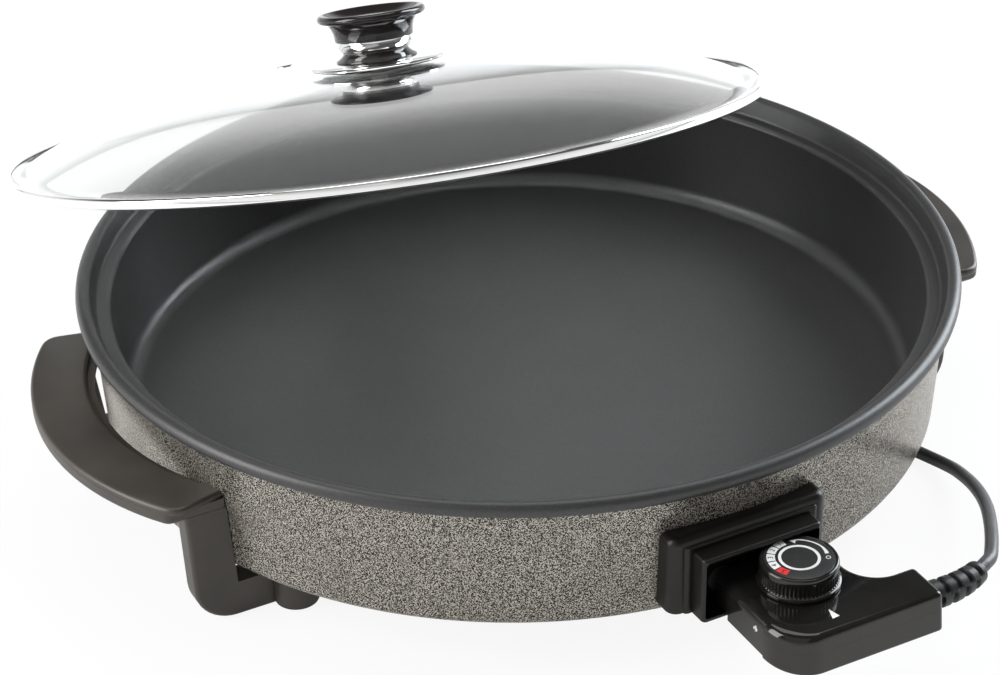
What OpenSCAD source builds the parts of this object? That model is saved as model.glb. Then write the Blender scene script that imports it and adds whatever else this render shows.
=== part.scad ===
// Electric skillet: round cast pan on moulded handles with legs, plug-in thermostat
// with a dial, mains cord with its coil and plug, and a domed glass lid held above the pan.
// Millimetres. +Z is up, the origin is on the pan's axis at table level,
// the handles lie along X and the thermostat plugs in from -Y.

/* [Pan] */
// Outside diameter over the lip
pan_d = 420; // [412:1:430]
// Height of the lip's widest line above the table
lip_z = 91; // [90:0.5:96]
// Height of the pan's underside above the table
base_z = 25.5; // [25:0.5:27]
// Thickness of the pan's floor
floor_t = 5; // [4:0.5:7]
// Outside diameter of the wall just under the lip
wall_top_d = 407.6; // [406:0.2:409]
// Outside diameter of the wall at the base
wall_base_d = 400.8; // [398:0.2:402]
// Thickness of the wall
wall_t = 9.8; // [9:0.1:11]
// Depth of the lid's ledge under the lip's widest line
ledge_drop = 6; // [5:0.5:8]
// Radius of the heating element's ring
element_r = 118; // [90:1:140]

/* [Handles] */
// Distance from the pan's axis to the outer edge of a grip
grip_reach = 239.5; // [232:0.5:250]
// Width of a grip from end to end
grip_w = 166; // [160:1:180]
// Radius of the grip's outer edge
grip_edge_r = 135; // [120:1:160]
// Height of the grip's top face
grip_z = 67.5; // [64:0.5:72]
// Thickness of the grip
grip_t = 9; // [7:0.5:12]
// Thickness of a leg along Y
leg_t = 12; // [10:1:14]
// Distance from the handle's centre line to a leg's outer side
leg_side = 77; // [72:1:80]
// Radius of the leg's lower corner
leg_corner = 19; // [8:1:20]
// How far each end of a grip slants inwards on its way to the pan
grip_slant = 6.5; // [0:0.5:8]

/* [Socket guard] */
// Width of the guard's outer plate
guard_w = 78.5; // [72:0.5:82]
// Height of the guard's outer plate
guard_h = 39; // [37:1:42]
// Distance from the pan's axis to the plate's front face
guard_front = 209.5; // [208:0.5:212]
// Width of the collar round the mouth
collar_w = 62; // [60:1:66]
// Distance from the pan's axis to the collar's front face
collar_front = 219.6; // [217:0.1:220]
// Thickness of the collar's wall
collar_wall = 2; // [1.5:0.5:3]
// Distance of each power pin from the centre line
pin_x = 13; // [11:0.5:14]

/* [Thermostat] */
// Height of the body's top face above the table
body_top = 48; // [46:0.5:50]
// Height of the body's underside above the table
body_low = 29.5; // [28:0.5:32]
// Half the width of the neck that enters the guard
neck_half = 18.5; // [18:0.5:22]
// Half the width of the body behind its rounded corner
body_half = 19.2; // [18.8:0.1:22]
// Distance from the pan's axis to the body's front side
body_front = 270.5; // [268:0.5:276]
// Distance from the centre line to the end of the arm
arm_end = 58.5; // [56:0.5:62]
// Diameter of the dial
dial_d = 34; // [30:1:38]
// Height of the dial's top face above the body
dial_h = 12; // [9:0.5:14]

/* [Lid] */
// Diameter of the lid over its metal rim
lid_d = 395; // [392:1:397]
// Height of the glass's crown above the middle of the rim
lid_rise = 30; // [22:1:40]
// Thickness of the glass
glass_t = 4; // [3:0.5:5]
// Height of the metal rim
rim_h = 5.2; // [5:0.1:7]
// Diameter of the knob's top ring
knob_d = 56; // [50:1:62]
// Place along X of the rim's middle, where a hand holds the lid above the pan
lid_x = 0.5; // [-6:0.5:6]
// Place along Y of the rim's middle
lid_y = 144.5; // [140:0.5:155]
// Height of the rim's middle above the table
lid_z = 99.5; // [99.5:0.5:160]
// Angle by which the lid leans
lid_tilt = 19.8; // [10:0.1:22]
// Direction towards which the lid's axis leans, from +X
lid_lean = 81; // [60:1:120]
// Distance of the steam vent from the lid's axis
vent_r = 115; // [90:1:140]

/* [Cord] */
// Diameter of the cord
cord_d = 6.2; // [5:0.1:8]
// Outer radius of the coil at the middle of its cord
coil_r = 42; // [38:1:46]
// Number of turns in the coil, half of them in each layer
coil_turns = 2.5; // [1.5:0.5:3.5]

/* [Hidden] */
$fn = 96;

// Finish colours
hammertone = [0.45, 0.44, 0.43];
phenolic = [0.11, 0.11, 0.11];
gloss_black = [0.04, 0.04, 0.045];
satin_black = [0.2, 0.2, 0.2];
steel = [0.75, 0.75, 0.76];
brass_tone = [0.78, 0.62, 0.3];
glass_tone = [0.75, 0.8, 0.82, 0.5];
ceramic_tone = [0.93, 0.92, 0.88];
rubber_tone = [0.13, 0.13, 0.14];
silicone_tone = [0.7, 0.7, 0.7];

pan_r = pan_d / 2;
wall_top_r = wall_top_d / 2;
wall_base_r = wall_base_d / 2;
wall_top_z = lip_z - 4;
lip_bulb = 3.7;
ledge_z = lip_z - ledge_drop;
floor_z = base_z + floor_t;
base_fillet = 4.5;
floor_fillet = 8;
shoulder_r = 2.5;
ledge_out = wall_top_r - 3.4;
inner_top = wall_top_r - wall_t;
inner_low = wall_base_r - wall_t;

// Where a grip and its legs end, inside the space that the pan takes
grip_back = -184;

// Screw pillars at the ends of the legs, and the pan's lugs above them
pillar_x = 157;
pillar_y = 80;
pillar_r = 10.5;
pillar_low = 0.4;
lug_z = 18.3;
lug_r = 9;
screw_r = 2;
screw_bore_r = 2.2;
screw_head_r = 4;
screw_seat_z = 8;
screw_top_z = base_z + 3;

// Heating element: a tube of this radius in a ridge under the floor
element_tube = 3.5;
element_z = 21.5;
ridge_half = 7;
ridge_z = 20;
riser_y = -196.3;
riser_r = 3;
pin_r = 2.4;
pin_z = 41;
pin_end = -214.5;
earth_pin_r = 1.6;
earth_pin_z = 44.3;
probe_r = 3;
probe_z = 37.6;
probe_end = -195.5;
probe_root = -222;

// Inlet plate behind the guard
plate_back = -204.2;
plate_front = -205.4;
plate_half = 34;
plate_low = 33;
plate_high = 62;
plate_screw_x = 25;
plate_screw_z = 47;
plate_screw_r = 1.5;

// Guard
guard_low = 31;
collar_high = 63.5;
guard_corner = 5;
mouth_half = collar_w / 2 - collar_wall;
mouth_low = guard_low + collar_wall;
mouth_high = collar_high - collar_wall;

// Thermostat
neck_back = -206.5;
neck_low = 33.5;
neck_step = -221.5;
parting_z = 40;
shell_t = 2;
dial_x = 10;
dial_y = -231.5;
platform_r = 21.5;
corner_w = 17;
corner_l = 20.4;
side_pin_y = -243;
arm_back = -247;
scoop_x = 48.5;
scoop_y = -231;
shaft_r = 3;
fit = 0.05;
sleeve_r = 3;
post_r = 3;
housing_screw_r = 1.3;
housing_posts = [[-10, -256], [22, -263], [36, -247.2]];
dial_low = body_top + 0.4;
cam_low = body_top - 6;
shaft_top = body_top + 8;
dial_top = body_top + dial_h;
relief_y = -258.5;
relief_z = 39;
relief_len = 30;
relief_straight = 8;
relief_bend_r = 50;
relief_root = 6.5;
relief_tip = 5.2;
relief_groove = 1.5;
relief_pitch = 6;
relief_plug_r = 5;
relief_plug_end = arm_end - shell_t - 0.1;
cable_clamp_x = 47.5;
tail_end = 46.2;
wire_r = 0.9;
wire_step = 2.1;
block_x = 32;

// Lid
lid_r = lid_d / 2;
rim_sheet = 0.5;
rim_lap = 4;
dome_edge = lid_r - 8.5;
dome_power = 3.2;
vent_turn = 12;
vent_hole = 3.5;
skirt_z = lid_rise + 1;
foot_z = skirt_z + 3.6;
band_z = foot_z + 4.2;
body_z = band_z + 6.5;
knob_top = body_z + 14.3;
ring_r = 2.1;
knob_screw_r = 2.4;

// Cord: round points chosen by hand, from the strain relief to the coil
cord_r = cord_d / 2;
cord_lie = cord_r + 0.1;
coil_lie = cord_r + 0.9;
relief_dir = relief_way(relief_len);
cord_start = relief_point(relief_len);
coil_centre = [78, 262];
cord_route = [
  cord_start,
  cord_start + cord_r * relief_dir,
  cord_start + cord_d * relief_dir,
  [99, -247.5, 38.2],
  [105, -240.5, 36.8],
  [113.5, -229.5, 33.8],
  [123.5, -215.5, 29.4],
  [133, -201, 24.5],
  [141, -186.5, 19.5],
  [147.5, -172, 14.5],
  [151.5, -160, 10.6],
  [154, -149.5, 7.4],
  [154.5, -140, 5],
  [153.5, -131.5, 3.6],
  [151, -123, cord_lie],
  [147, -113, cord_lie],
  [143.5, -100, cord_lie],
  [140.5, -80, cord_lie],
  [136, -50, cord_lie],
  [130.5, -15, cord_lie],
  [125.5, 25, cord_lie],
  [122, 70, cord_lie],
  [120.5, 115, cord_lie],
  [120, 160, cord_lie],
  [120, 200, 3.4],
  [120, 230, 3.8],
  [120, 262 - 3 * cord_d, coil_lie],
  [120, 262 - 2 * cord_d, coil_lie],
  [120, 262 - cord_d, coil_lie]
];
coil_pitch = 7;
coil_layer = 6.9;
loop_rings = 24;

// Tie round the coil's two strands, at the side towards the pan
tie_t = 0.8;
tie_w = 8;

// Plug, lying on its back beside the coil with its pins up
plug_x = -14;
plug_front = 259;
plug_w = 50;
plug_l = 46;
plug_h = 20;
plug_back_h = 12;
plug_corner = 9;
plug_sleeve = 14;
plug_entry_z = 8.5;
pin_rows = 22.2;
pin_apart = 22.2;

// Points of an arc in a plane, from angle a to angle b in n steps
function arc(centre, r, a, b, n) =
  [for (i = [0:n]) centre + r * [cos(a + (b - a) * i / n), sin(a + (b - a) * i / n)]];

// Radius of the wall's outside at height z
function wall_r(z) =
  wall_base_r + (wall_top_r - wall_base_r) * (z - base_z) / (wall_top_z - base_z);

// Height of the glass's upper side at radius r
function dome(r) = glass_t / 2 + (lid_rise - glass_t / 2) * (1 - pow(min(r, dome_edge) / dome_edge, dome_power));

// Catmull-Rom point between route points i and i + 1, u from 0 to 1
function route_end(p, i) = p[max(0, min(len(p) - 1, i))];
function route_point(p, i, u) =
  let (a = route_end(p, i - 1), b = route_end(p, i), c = route_end(p, i + 1), d = route_end(p, i + 2))
  0.5 * (2 * b + (c - a) * u + (2 * a - 5 * b + 4 * c - d) * u * u + (3 * b - a - 3 * c + d) * u * u * u);
function route(p, steps) = concat(
  [for (i = [0:len(p) - 2]) for (k = [0:steps - 1]) route_point(p, i, k / steps)],
  [p[len(p) - 1]]
);
function unit(v) = v / norm(v);

// Direction along a line of points, and the ring of a tube round one of them
function along(p, i) = unit(p[min(i + 1, len(p) - 1)] - p[max(i - 1, 0)]);
function ring(c, dir, r, sides) =
  let (side = unit(cross(dir, [0, 0, 1])), up = cross(side, dir))
  [for (k = [0:sides - 1]) c + r * (cos(360 * k / sides) * up + sin(360 * k / sides) * side)];

// One closed skin over rings of points that follow each other
module skin(rings, sides) {
  n = len(rings) / sides;
  sides_faces = [
    for (i = [0:n - 2]) for (k = [0:sides - 1]) each [
      [i * sides + k, i * sides + (k + 1) % sides, (i + 1) * sides + (k + 1) % sides],
      [i * sides + k, (i + 1) * sides + (k + 1) % sides, (i + 1) * sides + k]
    ]
  ];
  caps = [
    for (k = [1:sides - 2]) each [
      [0, k + 1, k],
      [(n - 1) * sides, (n - 1) * sides + k, (n - 1) * sides + k + 1]
    ]
  ];
  polyhedron(rings, concat(sides_faces, caps), convexity = 6);
}

// One closed tube of radius r along points
module tube(p, r, sides) {
  skin([for (i = [0:len(p) - 1]) each ring(p[i], along(p, i), r, sides)], sides);
}

// The space that the pan's outside takes, made larger by a gap
module pan_space(gap) {
  rotate_extrude($fn = 180) polygon([
    [0, base_z - gap],
    [wall_r(base_z) + gap, base_z - gap],
    [wall_top_r + gap, wall_top_z],
    [pan_r + gap, lip_z],
    [pan_r + gap, lip_z + 40],
    [0, lip_z + 40]
  ]);
}

module four_pillars() {
  for (sx = [-1, 1]) for (sy = [-1, 1]) translate([sx * pillar_x, sy * pillar_y, 0]) children();
}

// A pin along Y from y0, with a round end at y1
module bullet(x, y0, y1, z, r) {
  length = abs(y1 - y0);
  turn = y1 < y0 ? 90 : -90;
  translate([x, y0, z]) rotate([turn, 0, 0]) rotate_extrude($fn = 48)
    polygon(concat([[0, 0], [r, 0]], arc([0, length - r], r, 0, 90, 6)));
}

// A rod along Y from y0 to y1
module rod_y(x, y0, y1, z, r) {
  translate([x, max(y0, y1), z]) rotate([90, 0, 0]) cylinder(r = r, h = abs(y1 - y0), $fn = 48);
}

module pan_profile() {
  union() {
    polygon(concat(
      [[0, base_z]],
      arc([wall_base_r - base_fillet, base_z + base_fillet], base_fillet, -90, 0, 6),
      [[wall_top_r, wall_top_z], [pan_r - 1, lip_z - 2.2], [pan_r - lip_bulb, lip_z + lip_bulb]],
      [[wall_top_r + 0.6, lip_z + 2.6], [ledge_out, ledge_z + 1], [ledge_out - 0.8, ledge_z]],
      arc([inner_top + shoulder_r, ledge_z - shoulder_r], shoulder_r, 90, 180, 6),
      arc([inner_low - floor_fillet, floor_z + floor_fillet], floor_fillet, 0, -90, 8),
      [[0, floor_z]]
    ));
    translate([pan_r - lip_bulb, lip_z]) circle(r = lip_bulb, $fn = 48);
  }
}

module pan() {
  color(hammertone) difference() {
    union() {
      rotate_extrude($fn = 180) pan_profile();
      four_pillars() translate([0, 0, lug_z]) cylinder(r = lug_r, h = base_z - lug_z + 0.1);
      difference() {
        translate([0, 0, ridge_z]) cylinder(r = element_r + ridge_half, h = base_z - ridge_z + 0.1, $fn = 144);
        translate([0, 0, ridge_z - 1]) cylinder(r = element_r - ridge_half, h = base_z - ridge_z + 2, $fn = 144);
        translate([-pin_x - 5, -element_r - 12, ridge_z - 1]) cube([2 * pin_x + 10, 24, base_z - ridge_z + 1]);
      }
    }
    four_pillars() translate([0, 0, lug_z - 1]) cylinder(r = screw_r + 0.05, h = screw_top_z - lug_z + 1.5, $fn = 48);
    translate([0, 0, element_z]) rotate_extrude($fn = 144)
      translate([element_r, 0]) circle(r = element_tube + 0.1, $fn = 48);
    for (s = [-1, 1]) {
      translate([s * pin_x, riser_y, element_z]) cylinder(r = pin_r + 0.2, h = pin_z - element_z, $fn = 48);
      translate([s * pin_x, riser_y, pin_z]) sphere(r = pin_r + 0.2, $fn = 48);
      rod_y(s * pin_x, riser_y, -206, pin_z, pin_r + 0.2);
      rod_y(s * plate_screw_x, -196, -206, plate_screw_z, plate_screw_r + 0.05);
    }
    rod_y(0, probe_end + 0.4, -206, probe_z, probe_r + 0.3);
  }
}

module heating_element() {
  gap_angle = asin(pin_x / element_r);
  ring_end = -element_r * cos(gap_angle);
  color(steel) union() {
    translate([0, 0, element_z]) rotate([0, 0, gap_angle - 90])
      rotate_extrude(angle = 360 - 2 * gap_angle, $fn = 144)
        translate([element_r, 0]) circle(r = element_tube, $fn = 48);
    for (x = [-pin_x, pin_x]) {
      translate([x, ring_end, element_z]) sphere(r = element_tube + 0.3, $fn = 48);
      rod_y(x, ring_end, riser_y, element_z, riser_r);
      translate([x, riser_y, element_z]) sphere(r = riser_r + 0.3, $fn = 48);
      translate([x, riser_y, element_z]) cylinder(r = pin_r, h = pin_z - element_z, $fn = 48);
      translate([x, riser_y, pin_z]) sphere(r = pin_r + 0.1, $fn = 48);
      bullet(x, riser_y, pin_end, pin_z, pin_r);
    }
  }
}

module inlet_plate() {
  color(steel) difference() {
    translate([-plate_half, plate_front, plate_low])
      cube([2 * plate_half, plate_back - plate_front, plate_high - plate_low]);
    for (s = [-1, 1]) {
      rod_y(s * pin_x, plate_back + 1, plate_front - 1, pin_z, 5.1);
      rod_y(s * plate_screw_x, plate_back + 1, plate_front - 1, plate_screw_z, plate_screw_r + 0.1);
    }
    rod_y(0, plate_back + 1, plate_front - 1, probe_z, probe_r + 0.2);
    rod_y(0, plate_back + 1, plate_front - 1, earth_pin_z, earth_pin_r);
  }
}

module pin_insulators() {
  color(ceramic_tone) for (s = [-1, 1]) difference() {
    union() {
      rod_y(s * pin_x, plate_back + 0.2, plate_front, pin_z, 5);
      rod_y(s * pin_x, plate_front, plate_front - 1, pin_z, 6);
    }
    rod_y(s * pin_x, plate_back + 1, plate_front - 2, pin_z, pin_r + 0.1);
  }
}

module earth_pin() {
  color(brass_tone) bullet(0, plate_back, pin_end, earth_pin_z, earth_pin_r);
}

// A block with rounded upright edges, from y = front to y = back
module guard_block(half, front, low, high, r) {
  translate([0, 0, low]) linear_extrude(height = high - low) union() {
    translate([-half + r, front]) square([2 * (half - r), -front - 180]);
    translate([-half, front + r]) square([2 * half, -front - 180 - r]);
    for (s = [-1, 1]) translate([s * (half - r), front + r]) circle(r = r, $fn = 48);
  }
}

module socket_guard() {
  color(phenolic) difference() {
    union() {
      guard_block(guard_w / 2, -guard_front, guard_low, guard_low + guard_h, guard_corner);
      guard_block(collar_w / 2, -collar_front, guard_low, collar_high, 2);
    }
    pan_space(0.1);
    translate([-mouth_half, -collar_front - 1, mouth_low])
      cube([2 * mouth_half, 40, mouth_high - mouth_low]);
    translate([-plate_half - 0.2, plate_front - 0.1, plate_low - 0.2])
      cube([2 * plate_half + 0.4, 30, plate_high - plate_low + 0.4]);
  }
}

module guard_screws() {
  color(steel) for (s = [-1, 1]) {
    difference() {
      union() {
        rod_y(s * plate_screw_x, plate_front, plate_front - 2.2, plate_screw_z, 3.2);
        rod_y(s * plate_screw_x, -196.4, plate_front, plate_screw_z, plate_screw_r);
      }
      translate([s * plate_screw_x - 0.4, plate_front - 3, plate_screw_z - 2.4]) cube([0.8, 2, 4.8]);
      translate([s * plate_screw_x - 2.4, plate_front - 3, plate_screw_z - 0.4]) cube([4.8, 2, 0.8]);
    }
  }
}

// Plan of a grip: a wide crescent whose ends slant inwards
module grip_plan(finger_edge) {
  half = grip_w / 2;
  corner_x = grip_edge_r - grip_reach - sqrt(pow(grip_edge_r, 2) - pow(half, 2));
  difference() {
    intersection() {
      translate([grip_edge_r - grip_reach, 0]) circle(r = grip_edge_r, $fn = 180);
      polygon([
        [-grip_reach - 1, -half], [corner_x, -half], [grip_back, grip_slant - half],
        [grip_back, half - grip_slant], [corner_x, half], [-grip_reach - 1, half]
      ]);
    }
    intersection() {
      translate([finger_edge - 213, 0]) translate([118, 0]) circle(r = 118, $fn = 180);
      translate([-230, -66 + finger_edge / 2]) square([60, 132 - finger_edge]);
    }
  }
}

// Side view of a leg: an upright post with a rounded lower corner and a foot that turns inwards
module leg_side_view() {
  post_out = -206;
  post_low = -203.5;
  polygon(concat(
    [[post_out, grip_z - grip_t + 1], [post_low, leg_corner + 1]],
    arc([post_low + leg_corner, leg_corner], leg_corner, 180, 270, 8),
    [[-pillar_x, 0], [-pillar_x, lug_z], [grip_back, lug_z], [grip_back, grip_z - grip_t + 1]]
  ));
}

module handle() {
  difference() {
    union() {
      translate([0, 0, grip_z - grip_t]) linear_extrude(height = grip_t) grip_plan(0);
      translate([0, 0, grip_z - grip_t]) linear_extrude(height = 4.5) grip_plan(3.5);
      for (s = [-1, 1]) {
        translate([0, s * (leg_side - leg_t / 2) + leg_t / 2, 0]) rotate([90, 0, 0])
          linear_extrude(height = leg_t) leg_side_view();
        translate([-pillar_x, s * pillar_y, pillar_low]) cylinder(r = pillar_r, h = lug_z - pillar_low);
      }
    }
    pan_space(0.15);
    for (s = [-1, 1]) translate([-pillar_x, s * pillar_y, -1]) {
      cylinder(r = screw_bore_r, h = lug_z + 3, $fn = 48);
      cylinder(r = screw_head_r + 0.5, h = screw_seat_z + 1, $fn = 48);
    }
  }
}

module handle_left() {
  color(phenolic) handle();
}

module handle_right() {
  color(phenolic) rotate([0, 0, 180]) handle();
}

module handle_screws() {
  color(steel) four_pillars() difference() {
    union() {
      translate([0, 0, screw_seat_z]) cylinder(r = screw_r, h = screw_top_z - screw_seat_z, $fn = 48);
      translate([0, 0, screw_seat_z - 2.6]) cylinder(r = screw_head_r, h = 2.6, $fn = 48);
    }
    translate([-0.5, -3, screw_seat_z - 3.6]) cube([1, 6, 2]);
    translate([-3, -0.5, screw_seat_z - 3.6]) cube([6, 1, 2]);
  }
}

// Puts a piece of the lid where the lid is held
module on_lid() {
  translate([lid_x, lid_y, lid_z]) rotate([0, lid_tilt, lid_lean]) children();
}

module vent_place() {
  slope = atan((dome(vent_r - 1) - dome(vent_r + 1)) / 2);
  rotate([0, 0, vent_turn]) translate([vent_r, 0, dome(vent_r)]) rotate([0, slope, 0]) children();
}

module lid_glass() {
  steps = 22;
  upper = [for (i = [0:steps]) let (r = dome_edge * i / steps) [r, dome(r)]];
  lower = [for (i = [steps:-1:0]) let (r = dome_edge * i / steps) [r, dome(r) - glass_t]];
  rim_edge = lid_r - rim_sheet - 0.1;
  color(glass_tone) on_lid() difference() {
    rotate_extrude($fn = 180)
      polygon(concat(upper, [[rim_edge, glass_t / 2], [rim_edge, -glass_t / 2]], lower));
    translate([0, 0, lid_rise - 10]) cylinder(r = 5, h = 20, $fn = 48);
    vent_place() translate([0, 0, -10]) cylinder(r = vent_hole + 0.05, h = 20, $fn = 48);
  }
}

module lid_rim() {
  color(steel) on_lid() rotate_extrude($fn = 180) difference() {
    translate([lid_r - rim_lap, -rim_h / 2]) square([rim_lap, rim_h]);
    translate([lid_r - rim_lap - 1, -glass_t / 2 - 0.05]) square([rim_lap + 1 - rim_sheet, glass_t + 0.1]);
  }
}

module vent_eyelet() {
  color(steel) on_lid() vent_place() difference() {
    union() {
      translate([0, 0, -glass_t - 0.9]) cylinder(r = vent_hole, h = glass_t + 1.8, $fn = 48);
      translate([0, 0, 0.15]) cylinder(r = 6, h = 0.9, $fn = 48);
      translate([0, 0, -glass_t - 1.15]) cylinder(r = 5.5, h = 0.9, $fn = 48);
    }
    translate([0, 0, -10]) cylinder(r = 2.4, h = 20, $fn = 48);
  }
}

module washer(z, r, hole, h) {
  translate([0, 0, z]) difference() {
    cylinder(r = r, h = h);
    translate([0, 0, -1]) cylinder(r = hole, h = h + 2, $fn = 48);
  }
}

module knob_gasket() {
  color(silicone_tone) on_lid() union() {
    washer(lid_rise, 17, knob_screw_r + 0.1, 1);
    washer(lid_rise - glass_t, 4.9, knob_screw_r + 0.1, glass_t + 0.5);
  }
}

module knob_skirt() {
  color(steel) on_lid() translate([0, 0, skirt_z]) difference() {
    rotate_extrude() polygon([
      [0, 0], [29, 0], [29.5, 0.6], [33.5, 0.9], [35, 1.5],
      [35, 2.4], [33.5, 2.9], [24, 3.6], [0, 3.6]
    ]);
    translate([0, 0, -1]) cylinder(r = knob_screw_r + 0.1, h = 12, $fn = 48);
  }
}

module knob_foot() {
  color(gloss_black) on_lid() translate([0, 0, foot_z]) difference() {
    rotate_extrude() polygon([[0, 0], [21, 0], [21, 0.6], [18.8, 1.7], [17.3, 3], [16.7, 4.2], [0, 4.2]]);
    translate([0, 0, -1]) cylinder(r = knob_screw_r + 0.1, h = 12, $fn = 48);
  }
}

module knob_band() {
  color(steel) on_lid() translate([0, 0, band_z]) difference() {
    rotate_extrude() polygon([[0, 0], [17, 0], [19, 2.4], [20.2, 6.5], [0, 6.5]]);
    translate([0, 0, -1]) cylinder(r = knob_screw_r + 0.1, h = 12, $fn = 48);
  }
}

module knob_body() {
  ring_in = knob_d / 2 - ring_r;
  color(gloss_black) on_lid() difference() {
    rotate_extrude() union() {
      polygon([
        [0, body_z], [20.2, body_z], [20.4, body_z + 3], [21.4, body_z + 6.5], [23.4, body_z + 9.8],
        [ring_in, knob_top - 2 * ring_r], [ring_in, knob_top - 0.4], [24, knob_top - 0.7],
        [20, knob_top - 3], [17, knob_top - 4], [0, knob_top - 4]
      ]);
      translate([ring_in, knob_top - ring_r]) circle(r = ring_r, $fn = 32);
    }
    translate([0, 0, knob_top - 5]) cylinder(r = 16.1, h = 6);
    translate([0, 0, body_z - 1]) cylinder(r = knob_screw_r + 0.05, h = 8.5, $fn = 48);
  }
}

module knob_insert() {
  color(steel) on_lid() translate([0, 0, knob_top - 5]) rotate_extrude()
    polygon([[0, 0], [16, 0], [16, 1.3], [12, 0.9], [6, 0.6], [0, 0.5]]);
}

module inner_gasket() {
  color(silicone_tone) on_lid() washer(lid_rise - glass_t - 1, 12, knob_screw_r + 0.1, 0.97);
}

module knob_washer() {
  color(steel) on_lid() washer(lid_rise - glass_t - 2.2, 11, knob_screw_r + 0.1, 1.2);
}

module knob_screw() {
  seat = lid_rise - glass_t - 2.2;
  color(steel) on_lid() difference() {
    union() {
      translate([0, 0, seat - 2.8]) cylinder(r = 4.6, h = 2.8, $fn = 48);
      translate([0, 0, seat]) cylinder(r = knob_screw_r, h = body_z + 7 - seat, $fn = 48);
    }
    translate([-0.5, -3.4, seat - 3.8]) cube([1, 6.8, 2.2]);
    translate([-3.4, -0.5, seat - 3.8]) cube([6.8, 1, 2.2]);
  }
}

// Plan of the thermostat body, drawn in by inset: the neck, the round platform under the dial,
// the scoop cut for a fingertip, the arm and the rounded corner
module body_plan(inset) {
  platform = platform_r - inset;
  scoop = scoop_y - arm_back + inset;
  neck = neck_half - inset;
  corner = [for (a = [180:7.5:270])
    [corner_w - body_half + (corner_w - inset) * cos(a), corner_l - body_front + (corner_l - inset) * sin(a)]];
  polygon(concat(
    [[-neck, neck_back - inset], [-neck, corner[0][1] + 0.8]],
    corner,
    [[arm_end - inset, inset - body_front], [arm_end - inset, arm_back - inset]],
    arc([scoop_x, scoop_y], scoop, -90, -180, 12),
    arc([dial_x, dial_y], platform, 6, acos((neck - dial_x) / platform), 10),
    [[neck, neck_back - inset]]
  ));
}

// Plan of the space over the guard's lower lip, begun sooner by a margin
module neck_plan(margin) {
  translate([-2 * neck_half, neck_step - margin]) square([4 * neck_half, 30]);
}

module thermostat_top() {
  color(gloss_black) difference() {
    union() {
      difference() {
        translate([0, 0, parting_z]) linear_extrude(height = body_top - parting_z) body_plan(0);
        translate([0, 0, parting_z - 1]) linear_extrude(height = body_top - parting_z + 1 - shell_t)
          body_plan(shell_t);
      }
      for (p = housing_posts) translate([p[0], p[1], parting_z])
        cylinder(r = post_r, h = body_top - parting_z - 1, $fn = 48);
    }
    for (p = housing_posts) translate([p[0], p[1], parting_z - 1]) cylinder(r = housing_screw_r + 0.05, h = 6, $fn = 48);
    translate([dial_x, dial_y, body_top - shell_t - 1]) cylinder(r = shaft_r + fit, h = shell_t + 2);
    neck_holes();
    side_pin_space();
    relief_space();
  }
}

module thermostat_base() {
  color(gloss_black) difference() {
    union() {
      difference() {
        translate([0, 0, body_low]) linear_extrude(height = parting_z - body_low) body_plan(0);
        translate([0, 0, body_low + shell_t]) linear_extrude(height = parting_z - body_low)
          difference() {
            body_plan(shell_t);
            neck_plan(shell_t);
          }
        translate([0, 0, neck_low + shell_t]) linear_extrude(height = parting_z - neck_low) body_plan(shell_t);
      }
      for (p = housing_posts) translate([p[0], p[1], body_low])
        cylinder(r = post_r, h = parting_z - body_low, $fn = 48);
    }
    translate([0, 0, body_low - 1]) linear_extrude(height = neck_low - body_low + 1) neck_plan(0);
    for (p = housing_posts) translate([p[0], p[1], body_low - 1]) {
      cylinder(r = housing_screw_r + 0.15, h = 30, $fn = 48);
      cylinder(r = 2.6, h = 3.2, $fn = 48);
    }
    neck_holes();
    side_pin_space();
    relief_space();
  }
}

// Holes in the neck's end wall for the pins, and the probe's channel in its wall and floor
module neck_holes() {
  for (s = [-1, 1]) rod_y(s * pin_x, neck_back + 1, neck_back - shell_t - 0.5, pin_z, pin_r + 0.5);
  rod_y(0, neck_back + 1, neck_step - shell_t - 1, probe_z, probe_r + 0.1);
  rod_y(0, neck_back + 1, neck_back - shell_t - 0.5, earth_pin_z, earth_pin_r + 0.5);
}

module side_pin_space() {
  translate([-neck_half - 1, side_pin_y, parting_z]) rotate([0, 90, 0]) cylinder(r = 1.55, h = 6, $fn = 48);
}

module relief_space() {
  translate([arm_end - shell_t - 1, relief_y, relief_z]) rotate([0, 90, 0])
    cylinder(r = relief_plug_r + 0.05, h = 6, $fn = 48);
}

module side_pin() {
  color(steel) translate([-neck_half - 0.3, side_pin_y, parting_z]) rotate([0, 90, 0])
    cylinder(r = 1.5, h = 3.5, $fn = 48);
}

module housing_screws() {
  color(steel) for (p = housing_posts) translate([p[0], p[1], 0]) {
    translate([0, 0, body_low + 2.2]) cylinder(r = housing_screw_r, h = 11.5, $fn = 48);
    translate([0, 0, body_low + 0.4]) cylinder(r = 2.5, h = 1.8, $fn = 48);
  }
}

module probe_tip() {
  color(steel) difference() {
    bullet(0, probe_root, probe_end, probe_z, probe_r);
    rod_y(0, probe_root - 1, probe_root + 8, probe_z, 1.6);
  }
}

module probe_spring() {
  color(steel) difference() {
    rod_y(0, probe_root, probe_root - 7, probe_z, 2.1);
    rod_y(0, probe_root + 1, probe_root - 8, probe_z, 1.5);
  }
}

module contact_holder() {
  color(ceramic_tone) difference() {
    translate([-16.2, -219.5, neck_low + shell_t]) cube([32.4, 7.5, 10.3]);
    for (s = [-1, 1]) rod_y(s * pin_x, -211, -220, pin_z, sleeve_r + 0.05);
    rod_y(0, -211, -220, probe_z, probe_r + 0.05);
    rod_y(0, -211, -220, earth_pin_z, 1.75);
  }
}

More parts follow.
